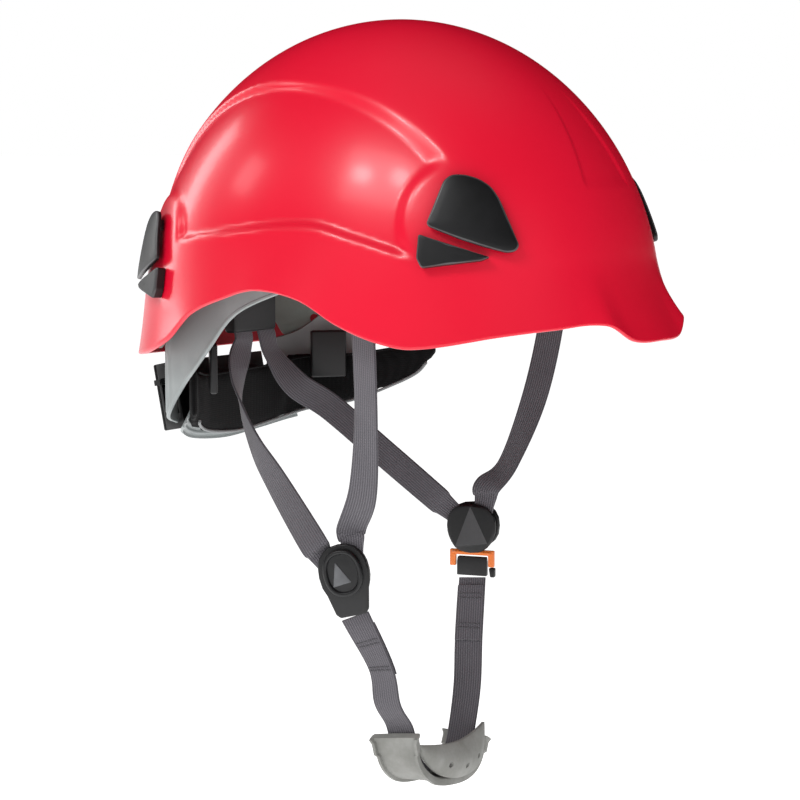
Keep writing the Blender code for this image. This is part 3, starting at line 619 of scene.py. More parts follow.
def clip_boss(point):
    """1 on the flat bosses that carry the clips, 0 away from them."""
    away = min((Vector((abs(point.x), point.y, point.z)) - centre).length for centre in CLIP_CENTRE.values())
    return ease((36 * MM - away) / (8 * MM))


def front_recess(point):
    """Shallow panel down the middle of the brow, wide at its foot."""
    foot, top = -42 * MM, 8 * MM
    half = 7 * MM + 13 * MM * (top - point.z) / (top - foot)
    if point.y > 0 or half <= 0:
        return 0.0
    edge = ease((half - abs(point.x)) / (2.2 * MM) + 0.5)
    return edge * ease((point.z - foot) / (2.2 * MM) + 0.5) * ease((top - point.z) / (26 * MM))


def shell_flared(azimuth, height, crease=None, rim=None):
    """Point and normal of the dome with its flared rim, before the side panels are let in."""
    point, normal = shell_base(azimuth, height)
    crease = table(CREASE, azimuth) if crease is None else crease
    rim = table(RIM, azimuth) if rim is None else rim
    fall = max(0.0, (crease - height) / (crease - rim))
    out = Vector((normal.x, normal.y, 0.0))
    flare = table(FLARE, azimuth) * fall ** 1.8
    return point + (out.normalized() * flare if out.length > 1e-6 else Vector()), normal


def shell_outer(azimuth, height, crease=None, rim=None):
    """Outer surface of the shell, with its side panels and its flared rim."""
    crease = table(CREASE, azimuth) if crease is None else crease
    flared, normal = shell_flared(azimuth, height, crease, rim)
    point = shell_base(azimuth, height)[0]
    beside = ramp((abs(point.x) - ridge_x(point.y)) / ridge_chamfer(point.y))
    above = ease((height - crease) / (3.4 * MM))
    fore = ease((abs(azimuth) - 40) / 8)
    aft = ease((158 - abs(azimuth)) / 8)
    panel = PANEL_STEP * beside * above * fore * aft * (1 - clip_boss(point))
    return flared - normal * (panel + 0.9 * MM * front_recess(point)), normal


def make_shell():
    """The hard shell: fine outer face, plainer inner face, and a rolled rim between them."""
    mesh = bmesh.new()
    columns = [360 * i / SHELL_COLUMNS - 180 for i in range(SHELL_COLUMNS)]
    creases = [table(CREASE, azimuth) for azimuth in columns]
    rims = [table(RIM, azimuth) for azimuth in columns]

    def level_at(share, rim):
        if share <= DOME_SHARE:
            return WALL_LEVEL + DOME_HEIGHT * math.cos(math.pi / 2 * share / DOME_SHARE * DOME_TURN)
        start = WALL_LEVEL + DOME_HEIGHT * math.cos(math.pi / 2 * DOME_TURN)
        return start + (rim - start) * (share - DOME_SHARE) / (1 - DOME_SHARE)

    def grid(rows, depth):
        lines = []
        for row in range(1, rows + 1):
            line = []
            for azimuth, crease, rim in zip(columns, creases, rims):
                point, normal = shell_outer(azimuth, level_at(row / rows, rim), crease, rim)
                line.append(mesh.verts.new(point - normal * depth))
            lines.append(line)
        point, normal = shell_outer(0, CROWN_HEIGHT)
        return lines, mesh.verts.new(point - normal * depth)

    def skin(lines, top, number):
        for i in range(SHELL_COLUMNS):
            j = (i + 1) % SHELL_COLUMNS
            faces = [mesh.faces.new((top, lines[0][i], lines[0][j]))]
            faces += [mesh.faces.new((upper[i], lower[i], lower[j], upper[j]))
                      for upper, lower in zip(lines, lines[1:])]
            for face in faces:
                face.material_index = number

    outer, outer_top = grid(OUTER_ROWS, 0.0)
    inner, inner_top = grid(INNER_ROWS, WALL)
    skin(outer, outer_top, 0)
    skin(inner, inner_top, 1)
    roll = [outer[-1]]
    for step in range(1, ROLL_STEPS):
        angle = math.pi * step / ROLL_STEPS
        line = []
        for a, b in zip(outer[-1], inner[-1]):
            half = (a.co - b.co) / 2
            down = Vector((0, 0, -1)) - Vector((0, 0, -1)).project(half)
            line.append(mesh.verts.new((a.co + b.co) / 2 + half * math.cos(angle)
                                       + down.normalized() * half.length * 0.7 * math.sin(angle)))
        roll.append(line)
    roll.append(inner[-1])
    for upper, lower in zip(roll, roll[1:]):
        for i in range(SHELL_COLUMNS):
            j = (i + 1) % SHELL_COLUMNS
            mesh.faces.new((upper[i], lower[i], lower[j], upper[j]))
    worn_by(piece_of("shell", mesh, [SHELL_RED, SHELL_INSIDE]), "helmet", "shell", "outer_shell")


# ---------------------------------------------------------------- clips

def clip_point(end, side, along, up, lift):
    """Point over the shell at a clip: along toward the helmet's nearer end, up, and lift off the dome."""
    ahead = 1 if end == "rear" else -1
    height = CLIP_CENTRE_Z[end] + up
    centre = shell_base(CLIP_AZIMUTH[end], height)[0]
    tangent = Vector((-centre.y / HALF_LENGTH ** 2, centre.x / HALF_WIDTH ** 2, 0)).normalized()
    azimuth = azimuth_at(centre.y + abs(tangent.y) * along * ahead, height, 0, 180)
    point, normal = shell_flared(azimuth, height)
    point = point + normal * lift
    return Vector((point.x * side, point.y, point.z))


def round_outline(outline, radius, spacing=1.6):
    """A straight-sided outline with its corners rounded and points spaced evenly along its sides."""
    corners = [Vector(point) for point in outline]
    points = []
    for before, corner, after in zip(corners[-1:] + corners[:-1], corners, corners[1:] + corners[:1]):
        reach = min(radius, (before - corner).length * 0.45, (after - corner).length * 0.45)
        start = corner + (before - corner).normalized() * reach
        stop = corner + (after - corner).normalized() * reach
        if points:
            sides = max(1, round((start - points[-1]).length / spacing))
            points += [points[-1].lerp(start, k / sides) for k in range(1, sides)]
        points += [start.lerp(corner, t).lerp(corner.lerp(stop, t), t) for t in (0, 0.25, 0.5, 0.75, 1)]
    sides = max(1, round((points[0] - points[-1]).length / spacing))
    points += [points[-1].lerp(points[0], k / sides) for k in range(1, sides)]
    return points


def clip_plate(name, end, side, outline, low, high, corner, crown=0.0, round_over=0.9):
    """Plate that follows the dome between two lifts, with a rounded upper edge and a crowned face."""
    fine = round_outline(outline, corner)
    middle = sum(fine, Vector((0, 0))) / len(fine)
    mesh = bmesh.new()

    def ring(scale, lift, shrink=0.0):
        points = []
        for spot in fine:
            away = spot - middle
            reached = middle + away * scale * (1 - shrink / away.length)
            points.append(mesh.verts.new(clip_point(end, side, reached.x * MM, reached.y * MM, lift)))
        return points

    loops = [ring(0.5, low), ring(1, low), ring(1, high - round_over * MM)]
    for turn in (30, 60, 90):
        angle = math.radians(turn)
        drop = round_over * MM * (1 - math.sin(angle))
        loops.append(ring(1, high - drop, round_over * (1 - math.cos(angle))))
    loops += [ring(scale, high + crown * (1 - scale * scale), round_over * scale)
              for scale in (0.8, 0.55, 0.3)]
    # the loops of the rounded upper edge take the second finish, a painted highlight
    for number, (first, second) in enumerate(zip(loops, loops[1:])):
        for face in hoop(mesh, first, second):
            face.material_index = 1 if number in (2, 3, 4) else 0
    for loop, lift in ((loops[0], low), (loops[-1], high + crown)):
        hub = mesh.verts.new(clip_point(end, side, middle.x * MM, middle.y * MM, lift))
        for i in range(len(fine)):
            mesh.faces.new((hub, loop[i], loop[(i + 1) % len(fine)]))
    return piece_of(name, mesh, [CLIP_BLACK, CLIP_PAINTED_HIGHLIGHT], 42)


def make_clips():
    """Four lamp clips: base piece, pivot block and sprung flap."""
    under = CLIP_STANDOFF + CLIP_SLOT
    top = under + FLAP_THICKNESS
    for end in ("front", "rear"):
        for hand, side in SIDES:
            stem = f"{end}_{hand}_clip"
            base = clip_plate(f"{stem}_foot", end, side, BASE_OUTLINE, CLIP_STANDOFF, top, 1.2)
            worn_by(base, "helmet", "clip", f"{stem}_base")
            pivot = clip_plate(f"{stem}_hinge", end, side, PIVOT_OUTLINE, CLIP_STANDOFF, under - GAP, 1.5,
                               round_over=0.3)
            worn_by(pivot, "helmet", "clip", f"{stem}_pivot")
            flap = clip_plate(f"{stem}_lever", end, side, FLAP_OUTLINE, under, top, 2.4, crown=0.5 * MM)
            worn_by(flap, f"{end}_{hand}_flap", "clip", f"{stem}_flap")


# ---------------------------------------------------------------- webbing

def web_section(width, thickness, ribs=12, fine=4):
    """Outline of ribbed webbing, with thinner, round selvedges."""
    count = ribs * fine
    upper = []
    for k in range(count + 1):
        across = (k / count - 0.5) * width
        inset = min(1.0, (width / 2 - abs(across)) / (0.7 * MM) + 0.12)
        rib = 0.06 * MM * math.cos(2 * math.pi * ribs * k / count)
        upper.append((across, thickness / 2 * inset ** 0.5 - 0.06 * MM + rib * inset))
    return upper + [(across, -out) for across, out in reversed(upper)]


def web(name, points, across_points, body, slot, nodes, steps=14, width=WEB_WIDTH, thickness=WEB_THICKNESS,
        bunched=0):
    """Webbing along points in millimetres, narrowing over its last few spans where it is bunched."""
    path = smooth_path([Vector(point) * MM for point in points], steps)
    ways = smooth_path(across_points, steps)
    spans = len(points) - 1
    outline = web_section(width, thickness)

    def section(share):
        narrowing = 1 - (1 - BUNCHED) * ease(((share - 1) * spans + bunched) / max(bunched, 1))
        return [(across * narrowing, out) for across, out in outline]

    made = sweep(name, path, ways, section, WEBBING, 50)
    return worn_by(made, body, slot, *nodes)


def divider_axes(side):
    """Frontward, outward and up directions of a strap divider."""
    hand = "left" if side > 0 else "right"
    turn = math.radians(DIVIDER_TURN_DEG[hand])
    lean = math.radians(DIVIDER_LEAN_DEG[hand])
    out = Vector((side * math.cos(turn), -math.sin(turn), 0))
    ahead = Vector((-side * math.sin(turn), -math.cos(turn), 0))
    up = Vector((0, 0, 1))
    return ahead * math.cos(lean) + up * math.sin(lean), out, up * math.cos(lean) - ahead * math.sin(lean)


def on_divider(side, wide, out, up):
    """Point at a divider in its own directions: wide is toward the front, out away from the face."""
    axes = divider_axes(side)
    centre = Vector((DIVIDER_X * side, DIVIDER_Y, DIVIDER_Z["left" if side > 0 else "right"]))
    return centre + (axes[0] * wide + axes[1] * out + axes[2] * up) * MM


REAR_ROUTE = {
    "right": [(-10, 95, -127), (-12, 94.5, -133), (-19, 92, -143), (-22, 88, -162), (-31, 71, -182),
              (-41, 49, -199)],
    "left": [(10, 95, -127), (12.5, 93, -138), (22, 84, -155), (36, 71, -168), (47, 42, -193)],
}
# how the front and rear straps go into a divider (wide, out, up), and the rear ones' way across (wide, up)
FRONT_ENTRY = ((8.2, 0, 23), (7.4, 0, 18), (5.9, 0, 9))
REAR_ENTRY = {
    "right": ((-13.5, 0, 21.5), (-10.5, 0, 14), (-6.5, 0, 5)),
    "left": ((-22, 0, 16.5), (-16, 0, 12), (-6.5, 0, 5)),
}
REAR_ACROSS = {"right": (0.9, 0.42), "left": (0.6, 0.8)}


def make_straps():
    """Front and rear webbing on each side."""
    for hand, side in SIDES:
        ahead, out, up = divider_axes(side)
        front_end = [tuple(on_divider(side, *place) / MM) for place in FRONT_ENTRY]
        rear_end = [tuple(on_divider(side, *place) / MM) for place in REAR_ENTRY[hand]]
        across = ahead * REAR_ACROSS[hand][0] + up * REAR_ACROSS[hand][1]
        front = [(90 * side, -40, -82), (87 * side, -40, -115), (78 * side, -35, -158),
                 (67 * side, -25, -195), *front_end]
        ways = [Vector((0.12 * side, -1, 0))] * 3 + [Vector((-0.2 * side, -1, 0))] + [ahead] * 3
        web(f"front_strap_{hand}_webbing", front, ways, "helmet", "webbing",
            [f"front_strap_{hand}"], bunched=2)
        rear = REAR_ROUTE[hand]
        half = len(rear) // 2
        inside_block = (rear[0][0], rear[0][1] + 2, rear[0][2] + 6)
        ways = [Vector((side, 0, 0))] * half
        ways += [Vector((0.7 * side, -0.5, 0.4)).lerp(ahead + up * 0.7, k / (len(rear) - half))
                 for k in range(len(rear) - half)]
        web(f"rear_strap_{hand}_webbing", [inside_block] + rear + rear_end,
            ways[:1] + ways + [across] * 3, "helmet", "webbing", [f"rear_strap_{hand}"], bunched=2)


def across_at(path, ways, i):
    """Directions across and out of the webbing at a point of its path, and along it."""
    along = (path[i + 1] - path[i]).normalized()
    wide = (ways[i] - ways[i].project(along)).normalized()
    return wide, along.cross(wide), along


def chin_path(lift):
    """Middle line round the chin from right to left; lift is the height over the chin pad."""
    points = [(-33, -20.5, -326), (-27.5, -21, -341), (-16, -21.5, -350.5), (0, -22, -354), (16, -21.5, -354),
              (27, -21, -349), (33.5, -20.5, -337.5)]
    return [(x * (1 - lift / 34), y, z + lift) for x, y, z in points]


def make_chin_strap():
    """The chin strap and its sewn returns at the divider and at the tongue."""
    start = on_divider(-1, 0, 0, -20.9) / MM
    end = on_divider(1, 0, 0, -26.8) / MM
    points = [tuple(start), (-43, -19, -289), (-38, -19.5, -308), *chin_path(4.5), (38, -18, -312),
              (47, -13, -288), tuple(end)]
    ways = [divider_axes(-1)[0], (0.1, -1, 0), (0.2, -1, 0), *[(0.25, -1, 0)] * 7, (0.4, -1, 0), (0.5, -1, 0),
            divider_axes(1)[0]]
    ways = [Vector(way).normalized() for way in ways]
    web("chin_strap_webbing", points, ways, "chin_loop", "webbing", ["chin_strap"])
    path = smooth_path([Vector(point) * MM for point in points], 14)
    turns = smooth_path(ways, 14)
    lift = -1.5 * MM
    outline = [(across, out + lift) for across, out in web_section(WEB_WIDTH * 0.99, WEB_THICKNESS)]
    for name, first in (("chin_strap_return_right", 3), ("chin_strap_return_left", len(path) - 16)):
        short = path[first:first + 14]
        ways_there = turns[first:first + 14]
        made = sweep(name, short, ways_there, lambda share: outline, WEBBING, 50)
        worn_by(made, "chin_loop", "webbing")
        rows = []
        for row in (0.25, 0.33, 0.78, 0.86):
            i = round(row * (len(short) - 1))
            wide, thick, along = across_at(short, ways_there, i)
            for face in (lift - WEB_THICKNESS / 2 - 0.12 * MM, WEB_THICKNESS / 2 + 0.12 * MM):
                line = [short[i] + wide * (k / 10 - 0.5) * WEB_WIDTH * 0.82 + thick * face
                        + along * 0.5 * MM * (k % 2) for k in range(11)]
                rows.append(tube(f"stitch_{len(rows)}", line, 0.25 * MM, THREAD, 6))
        worn_by(joined(name + "_stitches", rows), "chin_loop", "webbing")


# ---------------------------------------------------------------- chin pad

CHIN_FRONT = Vector((0.25, -1, 0)).normalized()
CHIN_HALF_WIDTH = 12.5 * MM
CHIN_WALL_REACH = 31 * MM        # how far the front wall reaches to each side of the middle
CHIN_WALL_THICKNESS = 1.7 * MM
CHIN_WALL_BULGE = 6.5 * MM
CHIN_WALL_ROWS = 9
CHIN_HOLES = ((-11, -343.5), (3, -346.5), (17, -344.5))


def make_chin_pad():
    """Rubber chin cup: a channel for the strap with flanged ends, and its front wall."""
    path = smooth_path([Vector(point) * MM for point in chin_path(0)], 24)

    def section(share):
        end = min(share, 1 - share)
        collar = ease((0.10 - end) / 0.008)
        lip = ease((0.03 - end) / 0.03)
        wide = CHIN_HALF_WIDTH * (0.90 + 0.09 * collar + 0.08 * lip)
        under = -1.6 * MM - 1.0 * MM * collar - 0.8 * MM * lip
        top = 1.0 * MM
        side = 2.6 * MM + 0.5 * MM * collar
        rim = 1.5 * MM
        return [(-wide, side), (-wide - 0.25 * MM, side * 0.3), (-wide, under * 0.6), (-wide * 0.94, under),
                (-wide * 0.4, under * 1.05), (0, under * 1.08), (wide * 0.4, under * 1.05),
                (wide * 0.94, under), (wide, under * 0.6), (wide + 0.25 * MM, side * 0.3), (wide, side),
                (wide - rim, side + 0.1 * MM), (wide - rim * 1.2, top), (wide * 0.4, top * 0.9),
                (0, top * 0.9), (-wide * 0.4, top * 0.9), (-wide + rim * 1.2, top),
                (-wide + rim, side + 0.1 * MM)]

    cup = sweep("chin_cup", path, [Vector((0.25, -1, 0))] * len(path), section, RUBBER, 38)
    worn_by(cup, "chin_loop", "rubber", "chin_pad")
    make_chin_wall([point for point in path if abs(point.x) < CHIN_WALL_REACH])


def chin_wall_column(point):
    """Points up the front wall's outer face over a point of the cup's middle line."""
    share = (point.x + CHIN_WALL_REACH) / (2 * CHIN_WALL_REACH)
    low = point.z + (1.2 + 3.2 * ease((0.5 - share) / 0.5)) * MM
    high = (-329.5 - 4 * math.sin(math.pi * share)) * MM
    low = min(low, high - 0.6 * MM)
    column = []
    for row in range(CHIN_WALL_ROWS):
        rise = row / (CHIN_WALL_ROWS - 1)
        swell = 0.35 + 0.65 * math.sin(math.pi * rise)
        bulge = CHIN_WALL_BULGE * math.sin(math.pi * share) ** 0.8 * swell
        spot = Vector((point.x, point.y, low + (high - low) * rise))
        column.append(spot + CHIN_FRONT * (CHIN_HALF_WIDTH * 0.93 + bulge))
    return column


def make_chin_wall(edge):
    """The cup's bulging front wall, with three holes."""
    mesh = bmesh.new()
    sheets = []
    for depth in (0.0, CHIN_WALL_THICKNESS):
        sheets.append([[mesh.verts.new(spot - CHIN_FRONT * depth) for spot in chin_wall_column(point)]
                       for point in edge])
    outer, inner = sheets
    for sheet in sheets:
        for first, second in zip(sheet, sheet[1:]):
            for k in range(CHIN_WALL_ROWS - 1):
                mesh.faces.new((first[k], first[k + 1], second[k + 1], second[k]))
    last = len(edge) - 1
    for i in range(last):
        for k in (0, CHIN_WALL_ROWS - 1):
            mesh.faces.new((outer[i][k], outer[i + 1][k], inner[i + 1][k], inner[i][k]))
    for i in (0, last):
        for k in range(CHIN_WALL_ROWS - 1):
            mesh.faces.new((outer[i][k], outer[i][k + 1], inner[i][k + 1], inner[i][k]))
    wall = piece_of("chin_cup_front", mesh, RUBBER)
    bevelled(wall, 0.4 * MM, 3, 50)
    for across, level in CHIN_HOLES:
        place = Vector((across, -22, level)) * MM + CHIN_FRONT * 14 * MM
        only(wall)
        drilled(wall, place, CHIN_FRONT, 1.5 * MM, 30 * MM)
    smooth_under(wall, 38)
    worn_by(wall, "chin_loop", "rubber")


# ---------------------------------------------------------------- dividers

def oval(half_wide, half_up, centre_up=0.0, count=64):
    """Outline of an oval, anticlockwise."""
    return [(half_wide * power(math.cos(2 * math.pi * i / count), 0.9),
             centre_up + half_up * power(math.sin(2 * math.pi * i / count), 0.9)) for i in range(count)]


def stack(name, side, rings, material):
    """Solid on a divider through rings of (wide, up) points at distances out."""
    mesh = bmesh.new()
    loops = [[mesh.verts.new(on_divider(side, wide, out, up)) for wide, up in outline]
             for outline, out in rings]
    for first, second in zip(loops, loops[1:]):
        hoop(mesh, first, second)
    mesh.faces.new(loops[0])
    mesh.faces.new(loops[-1])
    return piece_of(name, mesh, material, 40)


def shrunk(outline, amount):
    """An outline drawn in by an amount toward its middle."""
    middle = sum((Vector(point) for point in outline), Vector((0, 0))) / len(outline)
    drawn = []
    for point in outline:
        away = Vector(point) - middle
        drawn.append(tuple(middle + away * (1 - amount / away.length)))
    return drawn


# half width and half height in millimetres, then (inset, distance out) over the cover's edge
DIVIDER_HALVES = {"right": (13, 15), "left": (14.5, 12.5)}
LID_PROFILE = ((0.5, 4.5), (0, 4.7), (0, 6.2), (0.25, 6.75), (0.8, 7.05), (1.5, 7.05), (2.0, 6.8),
               (2.25, 6.1), (2.6, 5.75), (3.4, 5.75), (5.5, 5.95), (8, 6.05))
INLAY_OUTLINE = ((-2.6, 8.6), (-6.2, -3.6), (3.4, -2.6))
BACK_FOOT = {"right": 1.0, "left": 1.34}     # the left back plate reaches further down


def make_dividers():
    """Strap dividers: plates, cam covers with a ring and an inlaid triangle, and faceted backs."""
    for hand, side in SIDES:
        wide, tall = DIVIDER_HALVES[hand]
        rounded(f"divider_front_{hand}", "helmet", "clip", CLIP_BLACK, 0.7 * MM)
        body = f"{hand}_cover"
        edge = oval(wide - 3, tall - 3, 2.5)
        cover = stack(f"divider_lid_{hand}", side, [(shrunk(edge, inset), out) for inset, out in LID_PROFILE],
                      CLIP_BLACK)
        worn_by(cover, body, "clip", f"divider_cover_{hand}")
        inlay = [tuple(point) for point in round_outline(INLAY_OUTLINE, 0.5, 2.0)]
        triangle = stack(f"divider_inlay_{hand}", side,
                         [(inlay, 5.6), (inlay, 6.25), (shrunk(inlay, 0.25), 6.4)], INLAY_GREY)
        worn_by(triangle, body, "clip")
        make_divider_back(hand, side, wide - 0.6, tall - 0.6)


def make_divider_back(hand, side, wide, tall):
    """Back plate: an oval whose facets rise to a big triangle."""
    mesh = bmesh.new()
    outline = oval(wide, tall, 2, 28)
    foot = BACK_FOOT[hand]
    low = [mesh.verts.new(on_divider(side, w, -1.2, u)) for w, u in outline]
    rim = [mesh.verts.new(on_divider(side, w, -2.6, u * (foot if u < 0 else 1))) for w, u in outline]
    tips = [(0, tall * 0.92 + 2), (-wide * 0.62, (-tall * 0.62 + 1.4) * foot * 1.25),
            (wide * 0.72, (-tall * 0.50 + 1.4) * foot * 1.25)]
    plateau = [mesh.verts.new(on_divider(side, w, -4.3, u)) for w, u in tips]
    bmesh.ops.convex_hull(mesh, input=low + rim + plateau)
    bmesh.ops.dissolve_limit(mesh, angle_limit=math.radians(4), verts=mesh.verts, edges=mesh.edges)
    inward = -divider_axes(side)[1]
    mesh.normal_update()
    top = max(mesh.faces, key=lambda face: (round(face.normal.dot(inward), 3),
                                            face.calc_center_median().dot(inward)))
    for face in mesh.faces:
        face.material_index = 1 if face is top else 0
    plate = piece_of(f"divider_back_{hand}_facets", mesh, [CLIP_BLACK, INLAY_DARK], 12)
    bevelled(plate, 0.35 * MM, 2, 14, material=0)
    smooth_under(plate, 30)
    worn_by(plate, "helmet", "clip", f"divider_back_{hand}")


def make_buckle():
    """The orange latch frame with its roller, the pull tab and the tongue."""
    rounded("buckle_latch", "latch", "latch", LATCH_ORANGE, 0.55 * MM, 4)
    rounded("latch_tab", "latch", "clip", CLIP_BLACK, 0.7 * MM, 3)
    rounded("buckle_tongue", "chin_loop", "clip", CLIP_BLACK, 0.45 * MM, 3)
    bar = [on_divider(1, wide, -1.9, -12.9) for wide in (-11.2, -6, 0, 6, 11.2)]
    worn_by(tube("latch_roller", bar, 0.8 * MM, LATCH_ORANGE, 16), "latch", "latch")


# ---------------------------------------------------------------- headband, arms and nape unit

def band_point(azimuth, height, out=0.0):
    """Point on the headband's oval, or out from it."""
    sine, cosine = math.sin(math.radians(azimuth)), math.cos(math.radians(azimuth))
    normal = Vector((sine / BAND_HALF_WIDTH, -cosine / BAND_HALF_LENGTH, 0)).normalized()
    return Vector((BAND_HALF_WIDTH * sine, BAND_CENTRE_Y - BAND_HALF_LENGTH * cosine, height)) + normal * out


def make_headband():
    """Front half of the headband: a flat band with raised borders."""
    middle = BAND_TOP_Z - BAND_WIDTH / 2
    path = [band_point(azimuth, middle, BAND_THICKNESS / 2)
            for azimuth in range(-BAND_END_DEG, BAND_END_DEG + 1, 2)]
    half, thin = BAND_WIDTH / 2, BAND_THICKNESS / 2
    border = [(half - 2.4 * MM, thin - 0.5 * MM), (half - 1.9 * MM, thin)]
    outline = []
    for sx, sy in ((1, 1), (1, -1), (-1, -1), (-1, 1)):
        corner = [(half, thin - 0.4 * MM), (half - 0.4 * MM, thin), border[1], border[0]]
        if (sx, sy) in ((1, 1), (-1, -1)):
            corner.reverse()
        outline += [(sx * a, sy * o) for a, o in corner]
    outline = outline[::-1]
    ways = [Vector((0, 0, 1))] * len(path)
    made = sweep("headband_strip", path, ways, lambda share: outline, BAND_GREY, 40)
    worn_by(made, "helmet", "band", "headband")


def arm_route(side):
    """Middle line of a nape arm, from its pivot down to the nape housing."""
    points = [(ARM_OUT, PIVOT_Y - 8 * MM, PIVOT_Z), (ARM_OUT, 45 * MM, -94 * MM),
              (79.5 * MM, 64 * MM, -108 * MM), (73 * MM, 85 * MM, -127 * MM), (60 * MM, 106 * MM, -146 * MM),
              (HOUSING_WIDTH / 2 + 1.5 * MM, NAPE_FACE_Y + ARM_THICKNESS / 2, NAPE_Z + 4 * MM)]
    return [Vector((x * side, y, z)) for x, y, z in points]


def arm_height(share):
    return (25 + 14 * ease(share * 1.8)) * MM


# shares of the half height and of the half thickness, round the arm
ARM_SECTION = ((-1, -0.5), (-0.985, -1), (0.985, -1), (1, -0.5), (1, 0.4), (0.97, 1.0), (0.90, 1.0),
               (0.87, 0.55), (0.3, 0.62), (-0.3, 0.62), (-0.87, 0.55), (-0.90, 1.0), (-0.97, 1.0), (-1, 0.4))
PEG_PROFILE = ((3.2 * MM, 0), (4 * MM, 0.2 * MM), (4 * MM, 1.4 * MM), (3.6 * MM, 2.1 * MM),
               (2.8 * MM, 2.6 * MM), (1.6 * MM, 2.6 * MM), (1.4 * MM, 2.2 * MM))


def make_arms():
    """Grey arms with raised borders, a lit bevel and the upright flutes where they meet the housing."""
    for hand, side in SIDES:
        path = smooth_path(arm_route(side), 26)
        last = len(path) - 1
        mesh = bmesh.new()
        rings = []
        for i, point in enumerate(path):
            share = i / last
            along = path[min(i + 1, last)] - path[max(i - 1, 0)]
            flat = Vector((along.x, along.y, 0)).normalized()
            out = Vector((flat.y, -flat.x, 0)) * side
            half_height = arm_height(share) / 2
            up = Vector((0, 0, 1)) * half_height + flat * (0.35 * half_height * (1 - share))
            flutes = ease((share - 0.70) / 0.05) * ease((0.985 - share) / 0.02)
            swell = 0.9 * MM * flutes * (0.5 - 0.5 * math.cos(2 * math.pi * (share - 0.70) / 0.072))
            thin = ARM_THICKNESS / 2
            ring = []
            for level, reach in ARM_SECTION:
                proud = swell if reach > 0 and abs(level) < 0.89 else 0.0
                ring.append(mesh.verts.new(point + up * level + out * (thin * reach + proud)))
            rings.append(ring)
        for first, second in zip(rings, rings[1:]):
            hoop(mesh, first, second)
        mesh.faces.new(rings[0])
        mesh.faces.new(rings[-1])
        arm = piece_of(f"nape_arm_{hand}_strap", mesh, BAND_GREY, 35)
        worn_by(arm, "nape_frame", "band", f"nape_arm_{hand}")
        outward = Vector((side, 0, 0))
        start = ARM_OUT + ARM_THICKNESS / 2 + 2 * GAP
        peg = turned(f"side_peg_{hand}_head", outward * start + Vector((0, PIVOT_Y, PIVOT_Z)), outward,
                     PEG_PROFILE, 40, BAND_GREY)
        worn_by(peg, "helmet", "band", f"side_peg_{hand}")
        rounded(f"arm_slider_{hand}", "nape_frame", "clip", CLIP_BLACK, 0.8 * MM)


def tilted(point):
    """A point of the upright nape unit, leaned back about the foot of its face."""
    hinge = Vector((0, NAPE_FACE_Y, NAPE_Z))
    return hinge + Matrix.Rotation(math.radians(-NAPE_TILT_DEG), 3, "X") @ (Vector(point) - hinge)


def lean(piece):
    for vertex in piece.data.vertices:
        vertex.co = tilted(vertex.co)
    return piece


def make_nape_unit():
    """Housing, cover with its screws, and the ribbed wheel."""
    rounded("nape_housing", "nape_frame", "nape", NAPE_BLACK, 0.6 * MM)
    rounded("nape_cover", "nape_frame", "nape", NAPE_BLACK, 0.5 * MM)
    back = NAPE_FACE_Y + HOUSING_DEPTH + GAP + COVER_THICKNESS
    for number, (x, z) in enumerate(((-31, 12), (31, 12), (-31, -12), (31, -12))):
        head = turned(f"cover_screw_{number}", (x * MM, back, NAPE_Z + z * MM), (0, 1, 0),
                      ((2.4 * MM, 0), (2.4 * MM, 0.5 * MM), (2.1 * MM, 0.9 * MM), (1.15 * MM, 1.0 * MM),
                       (1.05 * MM, 0.4 * MM)), 36, SCREW)
        worn_by(lean(head), "nape_frame", "nape")
    start = back + GAP
    end = start + KNOB_THICKNESS
    radius = KNOB_RADIUS
    profile = ((SHAFT_RADIUS, start - 7.7 * MM), (SHAFT_RADIUS, start), (radius - 2 * MM, start),
               (radius - 0.6 * MM, start + 0.5 * MM), (radius, start + 1.4 * MM), (radius, end - 3 * MM),
               (radius - 0.5 * MM, end - 1.6 * MM), (radius - 1.6 * MM, end - 0.5 * MM), (radius - 3 * MM, end),
               (radius - 7 * MM, end), (radius - 8.2 * MM, end - 0.4 * MM), (radius - 9 * MM, end - 1.3 * MM),
               (3 * MM, end - 1.0 * MM))
    knob = turned("nape_wheel", (0, 0, NAPE_Z), (0, 1, 0), profile, 288, NAPE_BLACK,
                  KNOB_RIBS, 1.5 * MM, (4, 7))
    worn_by(lean(knob), "knob", "nape", "nape_knob")
    for node in ("pinion", "rack_left", "rack_right"):
        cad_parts[node].data.materials.clear()
        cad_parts[node].data.materials.append(NAPE_BLACK)


# x, y, z and height of the nape pad in millimetres, from its right end to its left
NAPE_ROUTE = ((-60, 91, -153, 30), (-46, 104, -158, 34), (-28, 111, -162, 37), (0, 112.5, -163, 40),
              (28, 111, -161, 38), (50, 102, -157, 36), (66, 80, -154, 32), (73, 60, -149, 27),
              (75.5, 38, -142, 20), (76.3, 27, -136, 7))


def nape_lines():
    """Middle line of the nape pad, its inward directions and its half heights."""
    middle = smooth_path([(x * MM, y * MM, z * MM) for x, y, z, _ in NAPE_ROUTE], 12)
    heights = smooth_path([(height * MM, 0, 0) for *_, height in NAPE_ROUTE], 12)
    inward = []
    last = len(middle) - 1
    for i in range(last + 1):
        along = middle[min(i + 1, last)] - middle[max(i - 1, 0)]
        inward.append(Vector((along.y, -along.x, 0)).normalized())
    return middle, inward, [height.x / 2 for height in heights]


